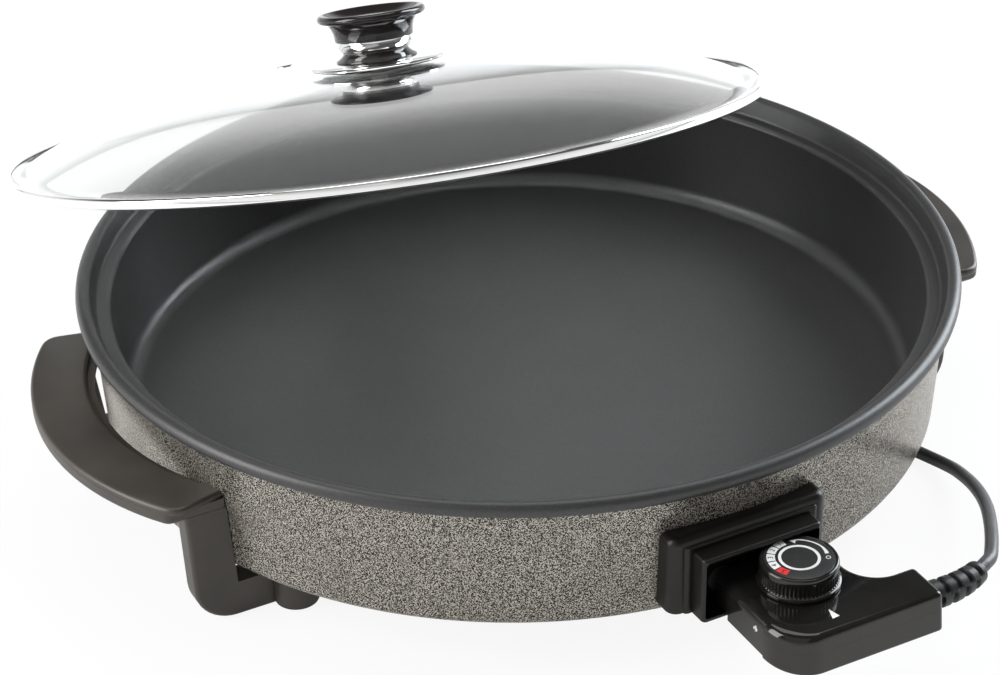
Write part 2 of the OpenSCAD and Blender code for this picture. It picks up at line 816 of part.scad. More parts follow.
module contact_sleeves() {
  color(brass_tone) for (s = [-1, 1]) difference() {
    union() {
      rod_y(s * pin_x, neck_back - shell_t - 0.3, -221, pin_z, sleeve_r);
      rod_y(s * pin_x, -219.6, -221, pin_z, sleeve_r + 0.4);
    }
    rod_y(s * pin_x, neck_back, -219, pin_z, pin_r + 0.08);
  }
}

module thermostat_switch() {
  low = body_low + shell_t;
  strip_z = low + 3.5;
  color(brass_tone) union() {
    translate([-14, -240, low]) cube([12, 8, 3.5]);
    translate([-12, -237.6, strip_z]) cube([24, 3.2, 0.6]);
    translate([-12, -237.6, strip_z]) cube([3, 3.2, 3]);
    translate([dial_x, -236, strip_z]) cylinder(r = 1.5, h = cam_low - 0.3 - strip_z, $fn = 48);
  }
}

module terminal_block() {
  color(ceramic_tone) difference() {
    translate([block_x, relief_y - 7.5, body_low + shell_t]) cube([10, 15, 10]);
    for (i = [-1:1]) translate([block_x - 1, relief_y + wire_step * i, relief_z]) rotate([0, 90, 0])
      cylinder(r = wire_r + 0.1, h = 12, $fn = 32);
  }
}

module supply_wires() {
  color(rubber_tone) for (i = [-1:1]) translate([block_x + 3, relief_y + wire_step * i, relief_z])
    rotate([0, 90, 0]) cylinder(r = wire_r, h = tail_end - block_x - 3, $fn = 32);
}

module cord_tail() {
  color(rubber_tone) translate([tail_end, relief_y, relief_z]) rotate([0, 90, 0])
    cylinder(r = cord_r, h = relief_plug_end - tail_end, $fn = 48);
}

module cord_clamp() {
  low = body_low + shell_t;
  color(steel) difference() {
    translate([cable_clamp_x, relief_y - 6, low]) cube([3.5, 12, relief_z + cord_r + 1 - low]);
    translate([cable_clamp_x - 1, relief_y, relief_z]) rotate([0, 90, 0])
      cylinder(r = cord_r + 0.05, h = 6, $fn = 48);
  }
}

// Middle of the strain relief at distance s from the arm: straight at first, then bent towards the pan
function relief_bend(s) = max(0, s - relief_straight) / relief_bend_r * 180 / PI;
function relief_way(s) = [cos(relief_bend(s)), sin(relief_bend(s)), 0];
function relief_point(s) = [
  arm_end + min(s, relief_straight) + relief_bend_r * sin(relief_bend(s)),
  relief_y + relief_bend_r * (1 - cos(relief_bend(s))),
  relief_z
];
function relief_r(s) = relief_root + (relief_tip - relief_root) * pow(s / relief_len, 2);

// Tapered sleeve moulded on the cord, with a root disc in the housing and four grooves.
// Each cut is a distance along the sleeve and how far its radius is less than the sleeve's there.
module strain_relief() {
  sides = 24;
  disc_cut = relief_root - relief_plug_r;
  grooves = [for (i = [0:3]) let (s = relief_pitch * (i + 0.5)) each [
    [s, 0], [s + 0.3, relief_groove], [s + relief_pitch / 2 - 0.3, relief_groove], [s + relief_pitch / 2, 0]
  ]];
  cuts = concat(
    [[relief_plug_end - arm_end, disc_cut], [0, disc_cut], [0, 0]],
    grooves,
    [[relief_len - 1, 0], [relief_len, 0.6]]
  );
  color(rubber_tone)
    skin([for (c = cuts) each ring(relief_point(c[0]), relief_way(c[0]), relief_r(c[0]) - c[1], sides)], sides);
}

module dial_shaft() {
  color(steel) translate([dial_x, dial_y, 0]) union() {
    translate([0, 0, cam_low]) cylinder(r = shaft_r, h = shaft_top - cam_low);
    translate([0, 0, cam_low]) cylinder(r = 6, h = 2);
  }
}

module dial_knob() {
  color(gloss_black) translate([dial_x, dial_y, 0]) difference() {
    rotate_extrude($fn = 120) polygon([
      [0, dial_low], [dial_d / 2 + 1.2, dial_low], [dial_d / 2 + 1.2, dial_low + 1.6],
      [dial_d / 2 + 0.4, dial_low + 2.2], [dial_d / 2, dial_low + 2.4], [dial_d / 2, dial_top - 1.2],
      [dial_d / 2 - 1, dial_top], [0, dial_top]
    ]);
    translate([0, 0, dial_low - 1]) cylinder(r = shaft_r, h = shaft_top - dial_low + 1);
    translate([0, 0, dial_top - 0.5]) cylinder(r = dial_d / 2 - 1.7, h = 2);
  }
}

module dial_label() {
  color(satin_black) translate([dial_x, dial_y, dial_top - 0.5]) cylinder(r = dial_d / 2 - 1.75, h = 0.4);
}

// Coil: in along one layer, up where the spiral reverses, and out again along the next
coil_end = 360 * coil_turns;
function coil_radius(t) = coil_r - coil_pitch * (t < coil_end / 2 ? t : coil_end - t) / 360;
function coil_height(t) = coil_lie + coil_layer * min(1, max(0, (t - coil_end / 2 + 90) / 180));
function coil_point(t) = [
  coil_centre[0] + coil_radius(t) * cos(t), coil_centre[1] + coil_radius(t) * sin(t), coil_height(t)
];
coil_rings = coil_turns * loop_rings;
coil_turned = [for (i = [0:coil_rings]) coil_point(coil_end * i / coil_rings)];
coil_out_dir = [-sin(coil_end), cos(coil_end), 0];
coil_path = concat(
  [coil_point(0) - [0, cord_d, 0]], coil_turned, [coil_point(coil_end) + cord_d * coil_out_dir]
);
coil_exit = coil_point(coil_end) + cord_d * coil_out_dir;
plug_entry = [plug_x, plug_front - plug_sleeve, plug_entry_z];
lead_route = [
  coil_exit,
  coil_exit + cord_d * coil_out_dir,
  [35, 244, 10.6],
  [30.5, 235.5, 10.2],
  [22, 229, 9.8],
  [11, 226, 9.4],
  [0, 227.5, 9],
  [-9, 233, 8.7],
  plug_entry - [0, cord_d, 0],
  plug_entry
];

function path_length(p) = len(p) < 2 ? 0 : norm(p[1] - p[0]) + path_length([for (i = [1:len(p) - 1]) p[i]]);
coil_gap = min([
  for (i = [0:len(coil_path) - 1]) for (k = [i + loop_rings / 2:1:len(coil_path) - 1])
    norm(coil_path[i] - coil_path[k])
]) - cord_d;
free_length = path_length(route(cord_route, 2)) + path_length(route(lead_route, 2));
echo(coil_gap = coil_gap, free_length = free_length, coil_length = path_length(coil_path));

module mains_cord() {
  color(rubber_tone) tube(route(cord_route, 2), cord_r, 8);
}

module cord_coil() {
  color(rubber_tone) tube(coil_path, cord_r, 6);
}

module cord_lead() {
  color(rubber_tone) tube(route(lead_route, 2), cord_r, 8);
}

module cord_tie() {
  tie_y = coil_centre[1] - coil_radius(270);
  half = cord_r + 0.3;
  high = coil_lie + coil_layer + cord_r + 0.3;
  color(satin_black) translate([coil_centre[0] - tie_w / 2, tie_y, 0]) rotate([90, 0, 90])
    linear_extrude(height = tie_w) difference() {
      union() {
        translate([-half - tie_t, 0]) square([2 * half + 2 * tie_t, high + tie_t]);
        translate([half, high - 5]) square([2 * tie_t, 5 + tie_t]);
      }
      translate([-half, tie_t - 0.1]) square([2 * half, high - tie_t + 0.1]);
    }
}

// Rounded outline of the plug, drawn in by inset
module plug_outline(inset) {
  half_w = plug_w / 2 - plug_corner;
  union() {
    translate([-half_w, inset]) square([2 * half_w, plug_l - 2 * inset]);
    translate([-plug_w / 2 + inset, plug_corner]) square([plug_w - 2 * inset, plug_l - 2 * plug_corner]);
    for (x = [-half_w, half_w]) for (y = [plug_corner, plug_l - plug_corner])
      translate([x, y]) circle(r = plug_corner - inset, $fn = 48);
  }
}

module plug_body() {
  color(phenolic) translate([plug_x, plug_front, 0]) difference() {
    union() {
      linear_extrude(height = plug_back_h) plug_outline(3);
      translate([0, 0, plug_back_h]) linear_extrude(height = plug_h - plug_back_h) plug_outline(0);
      translate([0, -plug_sleeve, plug_entry_z]) rotate([-90, 0, 0])
        cylinder(r1 = cord_r + 1, r2 = cord_r + 3, h = plug_sleeve + 5, $fn = 48);
    }
    translate([0, 34.5, plug_h - 6]) translate([-2.1, -4.1, 0]) cube([4.2, 8.2, 7]);
    for (s = [-1, 1]) translate([s * pin_apart / 2 - 3.3, 34.5 - pin_rows - 2.1, plug_h - 6]) cube([6.6, 4.2, 7]);
    translate([-6, 16, plug_h - 4]) cube([12, 9, 5]);
  }
}

module plug_pins() {
  color(brass_tone) translate([plug_x, plug_front, 0]) union() {
    translate([-2, 34.5 - 4, plug_h - 5.8]) cube([4, 8, 5.8 + 22.7]);
    for (s = [-1, 1]) translate([s * pin_apart / 2 - 3.175, 34.5 - pin_rows - 2, plug_h - 5.8])
      cube([6.35, 4, 5.8 + 17.7]);
  }
}

module fuse_cover() {
  color(satin_black) translate([plug_x, plug_front, 0]) difference() {
    translate([-5.9, 16.1, plug_h - 3.9]) cube([11.8, 8.8, 4.2]);
    translate([-0.6, 18, plug_h - 0.3]) cube([1.2, 5, 1]);
  }
}

pan();
heating_element();
inlet_plate();
pin_insulators();
earth_pin();
socket_guard();
guard_screws();
handle_left();
handle_right();
handle_screws();
lid_glass();
lid_rim();
vent_eyelet();
knob_gasket();
knob_skirt();
knob_foot();
knob_band();
knob_body();
knob_insert();
inner_gasket();
knob_washer();
knob_screw();
thermostat_top();
thermostat_base();
housing_screws();
side_pin();
probe_tip();
probe_spring();
contact_holder();
contact_sleeves();
thermostat_switch();
terminal_block();
supply_wires();
cord_tail();
cord_clamp();
strain_relief();
dial_shaft();
dial_knob();
dial_label();
mains_cord();
cord_coil();
cord_lead();
cord_tie();
plug_body();
plug_pins();
fuse_cover();
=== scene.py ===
import math

import bmesh
import bpy
from mathutils import Matrix, Vector


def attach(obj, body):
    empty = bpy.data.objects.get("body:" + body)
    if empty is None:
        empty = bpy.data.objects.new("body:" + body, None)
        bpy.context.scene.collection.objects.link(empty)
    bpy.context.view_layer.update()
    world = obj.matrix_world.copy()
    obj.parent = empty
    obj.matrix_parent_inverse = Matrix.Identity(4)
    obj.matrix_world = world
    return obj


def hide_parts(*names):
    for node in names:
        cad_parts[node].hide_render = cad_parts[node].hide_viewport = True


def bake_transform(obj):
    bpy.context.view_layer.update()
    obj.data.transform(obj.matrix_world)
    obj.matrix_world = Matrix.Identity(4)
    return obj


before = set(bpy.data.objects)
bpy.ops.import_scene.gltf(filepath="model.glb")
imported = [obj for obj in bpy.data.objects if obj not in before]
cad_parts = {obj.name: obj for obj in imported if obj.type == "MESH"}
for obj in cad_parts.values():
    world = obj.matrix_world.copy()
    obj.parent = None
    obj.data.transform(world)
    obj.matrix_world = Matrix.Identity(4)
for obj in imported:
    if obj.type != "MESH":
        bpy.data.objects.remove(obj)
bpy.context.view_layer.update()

# Lengths are millimetres, made into metres by MM. The studio, the camera's far limit and the end
# of the cord's blend are given in metres.
MM = 0.001

# Camera: where the photograph was taken from, what it aims at, its roll and its lens
CAMERA_AT = (-521.6, -990.6, 736.3)
CAMERA_AIM = (-40.4, -58.4, 91.0)
CAMERA_ROLL = -1.155
FOCAL_PX = 2700.0
IMAGE_WIDTH_PX = 1000.0
SENSOR_MM = 36.0

# Pan
LIP_R = 210.0
LIP_Z = 91.0
LIP_BULB = 3.7
BASE_Z = 25.5
FLOOR_Z = 30.5
WALL_TOP_R = 203.8
WALL_BASE_R = 200.4
WALL_TOP_Z = 87.0
WALL_T = 9.8
LEDGE_Z = 85.0
LEDGE_OUT = 200.4
SHOULDER_R = 2.5
BASE_FILLET = 4.5
FLOOR_FILLET = 8.0
ELEMENT_R = 118.0
ELEMENT_Z = 21.5
GROOVE_R = 3.6
RIDGE_HALF = 7.0
RIDGE_Z = 20.0
LUG_Z = 18.3
LUG_R = 9.0
PILLAR = (157.0, 80.0)
PILLAR_R = 10.5
PILLAR_LOW = 0.4
SCREW_BORE_R = 2.2
SCREW_HEAD_R = 4.5
SCREW_SEAT_Z = 8.0

# Handles: the left one's numbers; the right one is the same, turned half round. A leg is given by
# its outer side and its inner side at the foot and at the root; the one at +Y is thinner. The grips,
# which run on to GRIP_BACK, and the wide leg reach into the pan's room and are cut by it.
GRIP_REACH = 239.5
GRIP_EDGE_R = 135.0
GRIP_HALF = 83.0
GRIP_Z = 67.5
GRIP_T = 9.0
LEG_SIDE = 79.0
LEG_ROUND = 2.2
LEG_T = 12.0
LEG_CORNER = 19.0
LEG_LEAN = 2.5
LEG_WIDE = (-206.0, -184.0, -186.8)
LEG_THIN = (-200.5, -189.4, -194.9)
GRIP_SLANT = 6.5
GRIP_CORNER = 9.0
GRIP_PLATE = 3.9
GRIP_BACK = -184.0
GRIP_TIP_X = -187.6
GRIP_TIP_R = 2.6
GRIP_TIP_OUT = 0.9
GRIP_TIP_IN = 5.0
FINGER_R = 118.0
FINGER_X = -213.0
FINGER_SIDE = 66.0
LEDGE_IN = 3.5
LEDGE_SLANT = 0.9
LEDGE_CORNER = 5.0

# Socket guard
GUARD_HALF = 39.25
GUARD_LOW = 31.0
GUARD_HIGH = 70.0
GUARD_FRONT = 209.5
COLLAR_HALF = 30.2
COLLAR_HIGH = 63.5
COLLAR_FRONT = 219.6
COLLAR_WALL = 2.0
STEP_HALF = 33.5
STEP_OUT = 1.2
GUARD_BACK = -185.0
INLET_SEAT = ((-34.2, -205.5, 32.8), (34.2, -175.0, 62.2))

# Thermostat
BODY_TOP = 48.0
BODY_LOW = 29.5
PARTING_Z = 40.0
NECK_HALF = 18.5
NECK_BACK = -206.5
NECK_LOW = 33.5
NECK_STEP = -221.5
NOSE_R = 7.0
BODY_HALF = 19.2
BODY_FRONT = -270.5
FRONT_LEAN = 0.12
LEAN_FROM_Z = 33.0
SIDE_ROUND = 4.6
EDGE_ROUND = 2.3
ARM_END = 58.5
ARM_BACK = -247.0
CORNER_W = 17.0
CORNER_L = 20.4
DIAL_AT = (10.0, -231.5)
PLATFORM_R = 21.5
SCOOP_AT = (48.5, -231.0)
DIAL_D = 34.0
DIAL_LOW = 48.4
DIAL_TOP = 59.7
SIDE_PIN_Y = -243.0
POINTER = ((7.6, -261.0), (11.3, -260.6), (9.7, -254.7))

# Print on the dial: radii in its plane, and angles from +X in degrees
RING_RS = (7.7, 9.0)
MARK_RS = (10.3, 13.9)
MARK_HALF = 11.3
MARK_FIRST = 100.2
MARK_STEP = 25.7
MARK_COUNT = 5
DIGIT_R = 12.1
DIGIT_H = 3.3
ARROW_START = -15.0
ARROW_TURN = 79.0
ARROW_OUT_R = 13.1
ARROW_HEAD = ((12.7, 77.0), (10.2, 67.0), (12.4, 64.0))
OFF_RS = (0.8, 1.1)
OFF_AT = (12.2, -28.0)

# Lid, in its own frame: +Z along its axis, zero at the middle of the rim
LID_AT = (0.5, 144.5, 99.5)
LID_TILT = 19.8
LID_LEAN = 81.0
LID_R = 197.5
LID_RISE = 30.0
GLASS_T = 4.0
RIM_H = 5.2
DOME_EDGE = 189.0
DOME_POWER = 3.2
VENT_R = 115.0
VENT_TURN = 12.0
SKIRT_Z = 31.0
FOOT_Z = 34.6
BAND_Z = 38.8
KNOB_Z = 45.3
KNOB_TOP = 59.6
KNOB_R = 28.0
KNOB_RING_R = 2.1
KNOB_BORE_R = 2.6

# Cord: the same route as the part's own solids
CORD_D = 6.2
CORD_LIE = CORD_D / 2 + 0.1
COIL_LIE = CORD_D / 2 + 0.9
RELIEF_AT = (58.5, -258.5, 39.0)
RELIEF_LEN = 30.0
RELIEF_STRAIGHT = 8.0
RELIEF_BEND_R = 50.0
RELIEF_ROOT = 6.5
RELIEF_TIP = 5.2
COIL_CENTRE = (78.0, 262.0)
COIL_R = 42.0
COIL_TURNS = 2.5
COIL_PITCH = 7.0
COIL_LAYER = 6.9
PLUG_X = -14.0
PLUG_FRONT = 259.0
PLUG_W = 50.0
PLUG_L = 46.0
PLUG_H = 20.0
PLUG_BACK_H = 12.0
PLUG_CORNER = 9.0
PLUG_SLEEVE = 14.0
PLUG_ENTRY_Z = 8.5
PIN_Y = 34.5
PIN_ROWS = 22.2
PIN_HALF_APART = 11.1
PIN_HALF_W = 3.175
PIN_OUT = 17.7
EARTH_OUT = 22.7
FUSE_Y = (16.0, 25.0)
TIE_W = 8.0
TIE_T = 0.8


def relief_point(s):
    """Middle of the strain relief at a length s from the arm: straight, then bent towards the pan."""
    turn = max(0.0, s - RELIEF_STRAIGHT) / RELIEF_BEND_R
    return (RELIEF_AT[0] + min(s, RELIEF_STRAIGHT) + RELIEF_BEND_R * math.sin(turn),
            RELIEF_AT[1] + RELIEF_BEND_R * (1 - math.cos(turn)), RELIEF_AT[2])


RELIEF_TURN = (RELIEF_LEN - RELIEF_STRAIGHT) / RELIEF_BEND_R
RELIEF_DIR = (math.cos(RELIEF_TURN), math.sin(RELIEF_TURN), 0.0)
CORD_START = relief_point(RELIEF_LEN)
CORD_ROUTE = [
    CORD_START,
    tuple(a + CORD_D / 2 * b for a, b in zip(CORD_START, RELIEF_DIR)),
    tuple(a + CORD_D * b for a, b in zip(CORD_START, RELIEF_DIR)),
    (99, -247.5, 38.2),
    (105, -240.5, 36.8),
    (113.5, -229.5, 33.8),
    (123.5, -215.5, 29.4),
    (133, -201, 24.5),
    (141, -186.5, 19.5),
    (147.5, -172, 14.5),
    (151.5, -160, 10.6),
    (154, -149.5, 7.4),
    (154.5, -140, 5),
    (153.5, -131.5, 3.6),
    (151, -123, CORD_LIE),
    (147, -113, CORD_LIE),
    (143.5, -100, CORD_LIE),
    (140.5, -80, CORD_LIE),
    (136, -50, CORD_LIE),
    (130.5, -15, CORD_LIE),
    (125.5, 25, CORD_LIE),
    (122, 70, CORD_LIE),
    (120.5, 115, CORD_LIE),
    (120, 160, CORD_LIE),
    (120, 200, 3.4),
    (120, 230, 3.8),
    (120, 262 - 3 * CORD_D, COIL_LIE),
    (120, 262 - 2 * CORD_D, COIL_LIE),
    (120, 262 - CORD_D, COIL_LIE),
]
LEAD_ROUTE = [
    (36, 262 - CORD_D, COIL_LIE + COIL_LAYER),
    (36, 262 - 2 * CORD_D, COIL_LIE + COIL_LAYER),
    (35, 244, 10.6),
    (30.5, 235.5, 10.2),
    (22, 229, 9.8),
    (11, 226, 9.4),
    (0, 227.5, 9),
    (-9, 233, 8.7),
    (PLUG_X, PLUG_FRONT - PLUG_SLEEVE - CORD_D, PLUG_ENTRY_Z),
    (PLUG_X, PLUG_FRONT - PLUG_SLEEVE, PLUG_ENTRY_Z),
]
ROUTE_STEPS = 6
COIL_STEPS = 48


# Camera

def make_camera():
    data = bpy.data.cameras.new("camera")
    data.sensor_fit = "HORIZONTAL"
    data.sensor_width = SENSOR_MM
    data.lens = SENSOR_MM * FOCAL_PX / IMAGE_WIDTH_PX
    data.clip_end = 20.0
    camera = new_object("camera", data)
    at = Vector(CAMERA_AT) * MM
    aim = Vector(CAMERA_AIM) * MM
    turn = (aim - at).to_track_quat("-Z", "Y").to_matrix().to_4x4()
    camera.matrix_world = Matrix.Translation(at) @ turn @ turned(CAMERA_ROLL, "Z")
    bpy.context.scene.camera = camera


# Places, points and outlines

def moved(x, y, z):
    """A shift given in millimetres."""
    return Matrix.Translation(Vector((x, y, z)) * MM)


def turned(degrees, axis):
    return Matrix.Rotation(math.radians(degrees), 4, axis)


def raised(z, profile):
    """A profile of (r, height) points whose heights are measured from z."""
    return [(r, z + h) for r, h in profile]


def polar(r, angle):
    """The point at radius r and an angle in degrees."""
    a = math.radians(angle)
    return r * math.cos(a), r * math.sin(a)


def arc(centre, r, start, end, steps):
    """Points of a circle's arc, angles in degrees."""
    out = []
    for i in range(steps + 1):
        x, y = polar(r, start + (end - start) * i / steps)
        out.append((centre[0] + x, centre[1] + y))
    return out


def rounded(points, closed=True, step=15.0):
    """An outline whose corners (x, y, r) are rounded by radius r."""
    n = len(points)
    out = []
    for i, p in enumerate(points):
        r = p[2] if len(p) > 2 else 0.0
        if r == 0 or (not closed and i in (0, n - 1)):
            out.append((p[0], p[1]))
            continue
        here = Vector(p[:2])
        a = (Vector(points[i - 1][:2]) - here).normalized()
        b = (Vector(points[(i + 1) % n][:2]) - here).normalized()
        half = a.angle(b) / 2
        if half > math.radians(89.5):
            out.append((p[0], p[1]))
            continue
        reach = r / math.tan(half)
        centre = here + (a + b).normalized() * (r / math.sin(half))
        first = here + a * reach - centre
        last = here + b * reach - centre
        turn = first.angle_signed(last)
        steps = max(2, int(abs(math.degrees(turn)) / step))
        for k in range(steps + 1):
            spun = Matrix.Rotation(-turn * k / steps, 2) @ first
            out.append(tuple(centre + spun))
    return out


def catmull(points, steps):
    """A smooth line through points, with the given steps between two of them."""
    pts = [Vector(p) for p in points]
    out = []
    for i in range(len(pts) - 1):
        a, b = pts[max(i - 1, 0)], pts[i]
        c, d = pts[i + 1], pts[min(i + 2, len(pts) - 1)]
        for k in range(steps):
            u = k / steps
            out.append(
                0.5 * (2 * b + (c - a) * u + (2 * a - 5 * b + 4 * c - d) * u * u
                       + (3 * b - a - 3 * c + d) * u * u * u)
            )
    out.append(pts[-1])
    return out


# Meshes

def new_object(name, data):
    obj = bpy.data.objects.new(name, data)
    bpy.context.scene.collection.objects.link(obj)
    return obj


def from_bmesh(name, bm, smooth_angle=35.0):
    bmesh.ops.recalc_face_normals(bm, faces=bm.faces)
    mesh = bpy.data.meshes.new(name)
    bm.to_mesh(mesh)
    bm.free()
    shade(mesh, smooth_angle)
    return new_object(name, mesh)


def shade(mesh, smooth_angle):
    for p in mesh.polygons:
        p.use_smooth = True
    mesh.set_sharp_from_angle(angle=math.radians(smooth_angle))


def lathe(name, profile, steps=192, closed=False, matrix=None, smooth_angle=35.0, radius=None):
    """Turns a profile of (r, z) points about Z. radius(angle, r, z) may change the radius."""
    bm = bmesh.new()
    rings = []
    for r, z in profile:
        if r < 1e-6:
            rings.append([bm.verts.new((0, 0, z * MM))])
            continue
        ring = []
        for i in range(steps):
            a = 2 * math.pi * i / steps
            rr = radius(a, r, z) if radius else r
            ring.append(bm.verts.new((rr * math.cos(a) * MM, rr * math.sin(a) * MM, z * MM)))
        rings.append(ring)
    pairs = list(zip(rings, rings[1:]))
    if closed:
        pairs.append((rings[-1], rings[0]))
    for low, high in pairs:
        for i in range(steps):
            k = (i + 1) % steps
            if len(low) == 1:
                bm.faces.new((low[0], high[k], high[i]))
            elif len(high) == 1:
                bm.faces.new((low[i], low[k], high[0]))
            else:
                bm.faces.new((low[i], low[k], high[k], high[i]))
    if matrix:
        bmesh.ops.transform(bm, matrix=matrix, verts=bm.verts)
    return from_bmesh(name, bm, smooth_angle)


CRISP_EDGE = 0.6


def bevel(bm, edges, width, segments):
    bmesh.ops.bevel(bm, geom=edges, offset=width * MM, offset_type="OFFSET", segments=segments,
                    profile=0.5, affect="EDGES", clamp_overlap=True)


def is_crisp(edge, crisp):
    return crisp is not None and all(crisp(v.co.x / MM, v.co.y / MM) for v in edge.verts)


def prism(name, outline, low, high, top=0.0, bottom=0.0, segments=3, matrix=None, crisp=None):
    """An outline drawn up from low to high, its top and bottom edges rounded.

    Edges whose two ends satisfy crisp(x, y) are rounded by CRISP_EDGE only.
    """
    bm = bmesh.new()
    under = [bm.verts.new((x * MM, y * MM, low * MM)) for x, y in outline]
    over = [bm.verts.new((x * MM, y * MM, high * MM)) for x, y in outline]
    bm.faces.new(list(reversed(under)))
    bm.faces.new(over)
    n = len(outline)
    for i in range(n):
        k = (i + 1) % n
        bm.faces.new((under[i], under[k], over[k], over[i]))
    bm.normal_update()
    for size, z in ((top, high), (bottom, low)):
        for fine in (False, True):
            edges = [e for e in bm.edges if all(abs(v.co.z / MM - z) < 0.001 for v in e.verts)
                     and is_crisp(e, crisp) == fine]
            if size and edges:
                bevel(bm, edges, CRISP_EDGE if fine else size, segments)
    if matrix:
        bmesh.ops.transform(bm, matrix=matrix, verts=bm.verts)
    return from_bmesh(name, bm)


def bore(r, low, high, place, steps=48):
    """A round rod, to cut a hole with."""
    return lathe("bore", [(0, low), (r, low), (r, high), (0, high)], steps, matrix=place)


def block(name, low, high, edge=0.0, segments=2):
    """A box between two corners with rounded edges."""
    bm = bmesh.new()
    bmesh.ops.create_cube(bm, size=1.0)
    size = [h - l for l, h in zip(low, high)]
    middle = [(h + l) / 2 for l, h in zip(low, high)]
    for v in bm.verts:
        v.co = Vector([(c * s + m) * MM for c, s, m in zip(v.co, size, middle)])
    if edge:
        bevel(bm, bm.edges[:], edge, segments)
    return from_bmesh(name, bm)


def loft(name, rings, smooth_angle=35.0):
    """A closed mesh through rings of as many points each, from the first ring to the last."""
    bm = bmesh.new()
    rows = [[bm.verts.new(Vector(p) * MM) for p in ring] for ring in rings]
    for low, high in zip(rows, rows[1:]):
        for i in range(len(low)):
            k = (i + 1) % len(low)
            bm.faces.new((low[i], low[k], high[k], high[i]))
    bm.faces.new(list(reversed(rows[0])))
    bm.faces.new(rows[-1])
    return from_bmesh(name, bm, smooth_angle)


def tube(name, path, radius, sides=20):
    """A closed tube along points; radius is a number or a function of the length and the angle."""
    pts = [Vector(p) for p in path]
    lengths = [0.0]
    for a, b in zip(pts, pts[1:]):
        lengths.append(lengths[-1] + (b - a).length)
    rings = []
    for i, p in enumerate(pts):
        along = (pts[min(i + 1, len(pts) - 1)] - pts[max(i - 1, 0)]).normalized()
        side = along.cross(Vector((0, 0, 1))).normalized()
        up = side.cross(along)
        ring = []
        for k in range(sides):
            a = 2 * math.pi * k / sides
            r = radius(lengths[i], a) if callable(radius) else radius
            ring.append(p + r * (math.cos(a) * up + math.sin(a) * side))
        rings.append(ring)
    return loft(name, rings, 50.0)


def apply_modifiers(obj):
    graph = bpy.context.evaluated_depsgraph_get()
    mesh = bpy.data.meshes.new_from_object(obj.evaluated_get(graph))
    obj.modifiers.clear()
    old = obj.data
    obj.data = mesh
    bpy.data.meshes.remove(old)


def boolean(obj, other, operation):
    """Cuts or adds another closed mesh, which is used up."""
    modifier = obj.modifiers.new("boolean", "BOOLEAN")
    modifier.operation = operation
    modifier.solver = "EXACT"
    modifier.object = other
    bpy.context.view_layer.update()
    apply_modifiers(obj)
    bpy.data.objects.remove(other)
    return obj


def cut(obj, other):
    return boolean(obj, other, "DIFFERENCE")


def add(obj, other):
    return boolean(obj, other, "UNION")


def weld(mesh):
    """Closes seams and drops faces of no size."""
    bm = bmesh.new()
    bm.from_mesh(mesh)
    bmesh.ops.remove_doubles(bm, verts=bm.verts, dist=0.002 * MM)
    bmesh.ops.dissolve_degenerate(bm, edges=bm.edges, dist=0.002 * MM)
    bm.to_mesh(mesh)
    bm.free()


def tidy_normals(obj, smooth_angle=35.0):
    weld(obj.data)
    shade(obj.data, smooth_angle)
    modifier = obj.modifiers.new("normals", "WEIGHTED_NORMAL")
    modifier.keep_sharp = True
    bpy.context.view_layer.update()
    apply_modifiers(obj)


def join(objects, name):
    """One object from several, with its materials kept."""
    bpy.ops.object.select_all(action="DESELECT")
    for o in objects:
        o.select_set(True)
    bpy.context.view_layer.objects.active = objects[0]
    bpy.ops.object.join()
    objects[0].name = name
    objects[0].data.name = name
    return objects[0]


# Materials

# Tint of the highlights on the pan's coating, the grips, the guard, the thermostat and its dial
WARM = (1.0, 0.96, 0.91, 1.0)


def set_sockets(node, **values):
    """Sets a node's sockets; an underscore stands for a space in a socket's name."""
    for key, value in values.items():
        node.inputs[key.replace("_", " ")].default_value = value


def shader(name, color, roughness, metallic=0.0, **sockets):
    """A new material and the nodes, links and Principled shader in it."""
    material = bpy.data.materials.new(name)
    material.use_nodes = True
    nodes = material.node_tree.nodes
    links = material.node_tree.links
    bsdf = nodes["Principled BSDF"]
    set_sockets(bsdf, Base_Color=(*color, 1.0), Roughness=roughness, Metallic=metallic, **sockets)
    return material, nodes, links, bsdf


def noise(nodes, links, scale, detail=2.0, roughness=0.5, distortion=0.0):
    where = nodes.new("ShaderNodeTexCoord")
    texture = nodes.new("ShaderNodeTexNoise")
    set_sockets(texture, Scale=scale, Detail=detail, Roughness=roughness, Distortion=distortion)
    links.new(where.outputs["Object"], texture.inputs["Vector"])
    return texture.outputs["Fac"]


def tint(nodes, links, bsdf, source, stops):
    """Colours a shader by a ramp over a texture: stops are (place, colour) pairs."""
    node = nodes.new("ShaderNodeValToRGB")
    element = node.color_ramp.elements
    element[0].position, element[0].color = stops[0][0], (*stops[0][1], 1.0)
    element[1].position, element[1].color = stops[-1][0], (*stops[-1][1], 1.0)
    for place, color in stops[1:-1]:
        extra = element.new(place)
        extra.color = (*color, 1.0)
    links.new(source, node.inputs["Fac"])
    links.new(node.outputs["Color"], bsdf.inputs["Base Color"])


def bump(nodes, links, bsdf, source, strength, distance):
    node = nodes.new("ShaderNodeBump")
    set_sockets(node, Strength=strength, Distance=distance * MM)
    links.new(source, node.inputs["Height"])
    links.new(node.outputs["Normal"], bsdf.inputs["Normal"])


def grey(v):
    return (v, v, v)


def scaled(color, share):
    return tuple(c * share for c in color)


def rough_range(nodes, links, bsdf, source, low, high):
    node = nodes.new("ShaderNodeMapRange")
    set_sockets(node, To_Min=low, To_Max=high)
    links.new(source, node.inputs["Value"])
    links.new(node.outputs["Result"], bsdf.inputs["Roughness"])


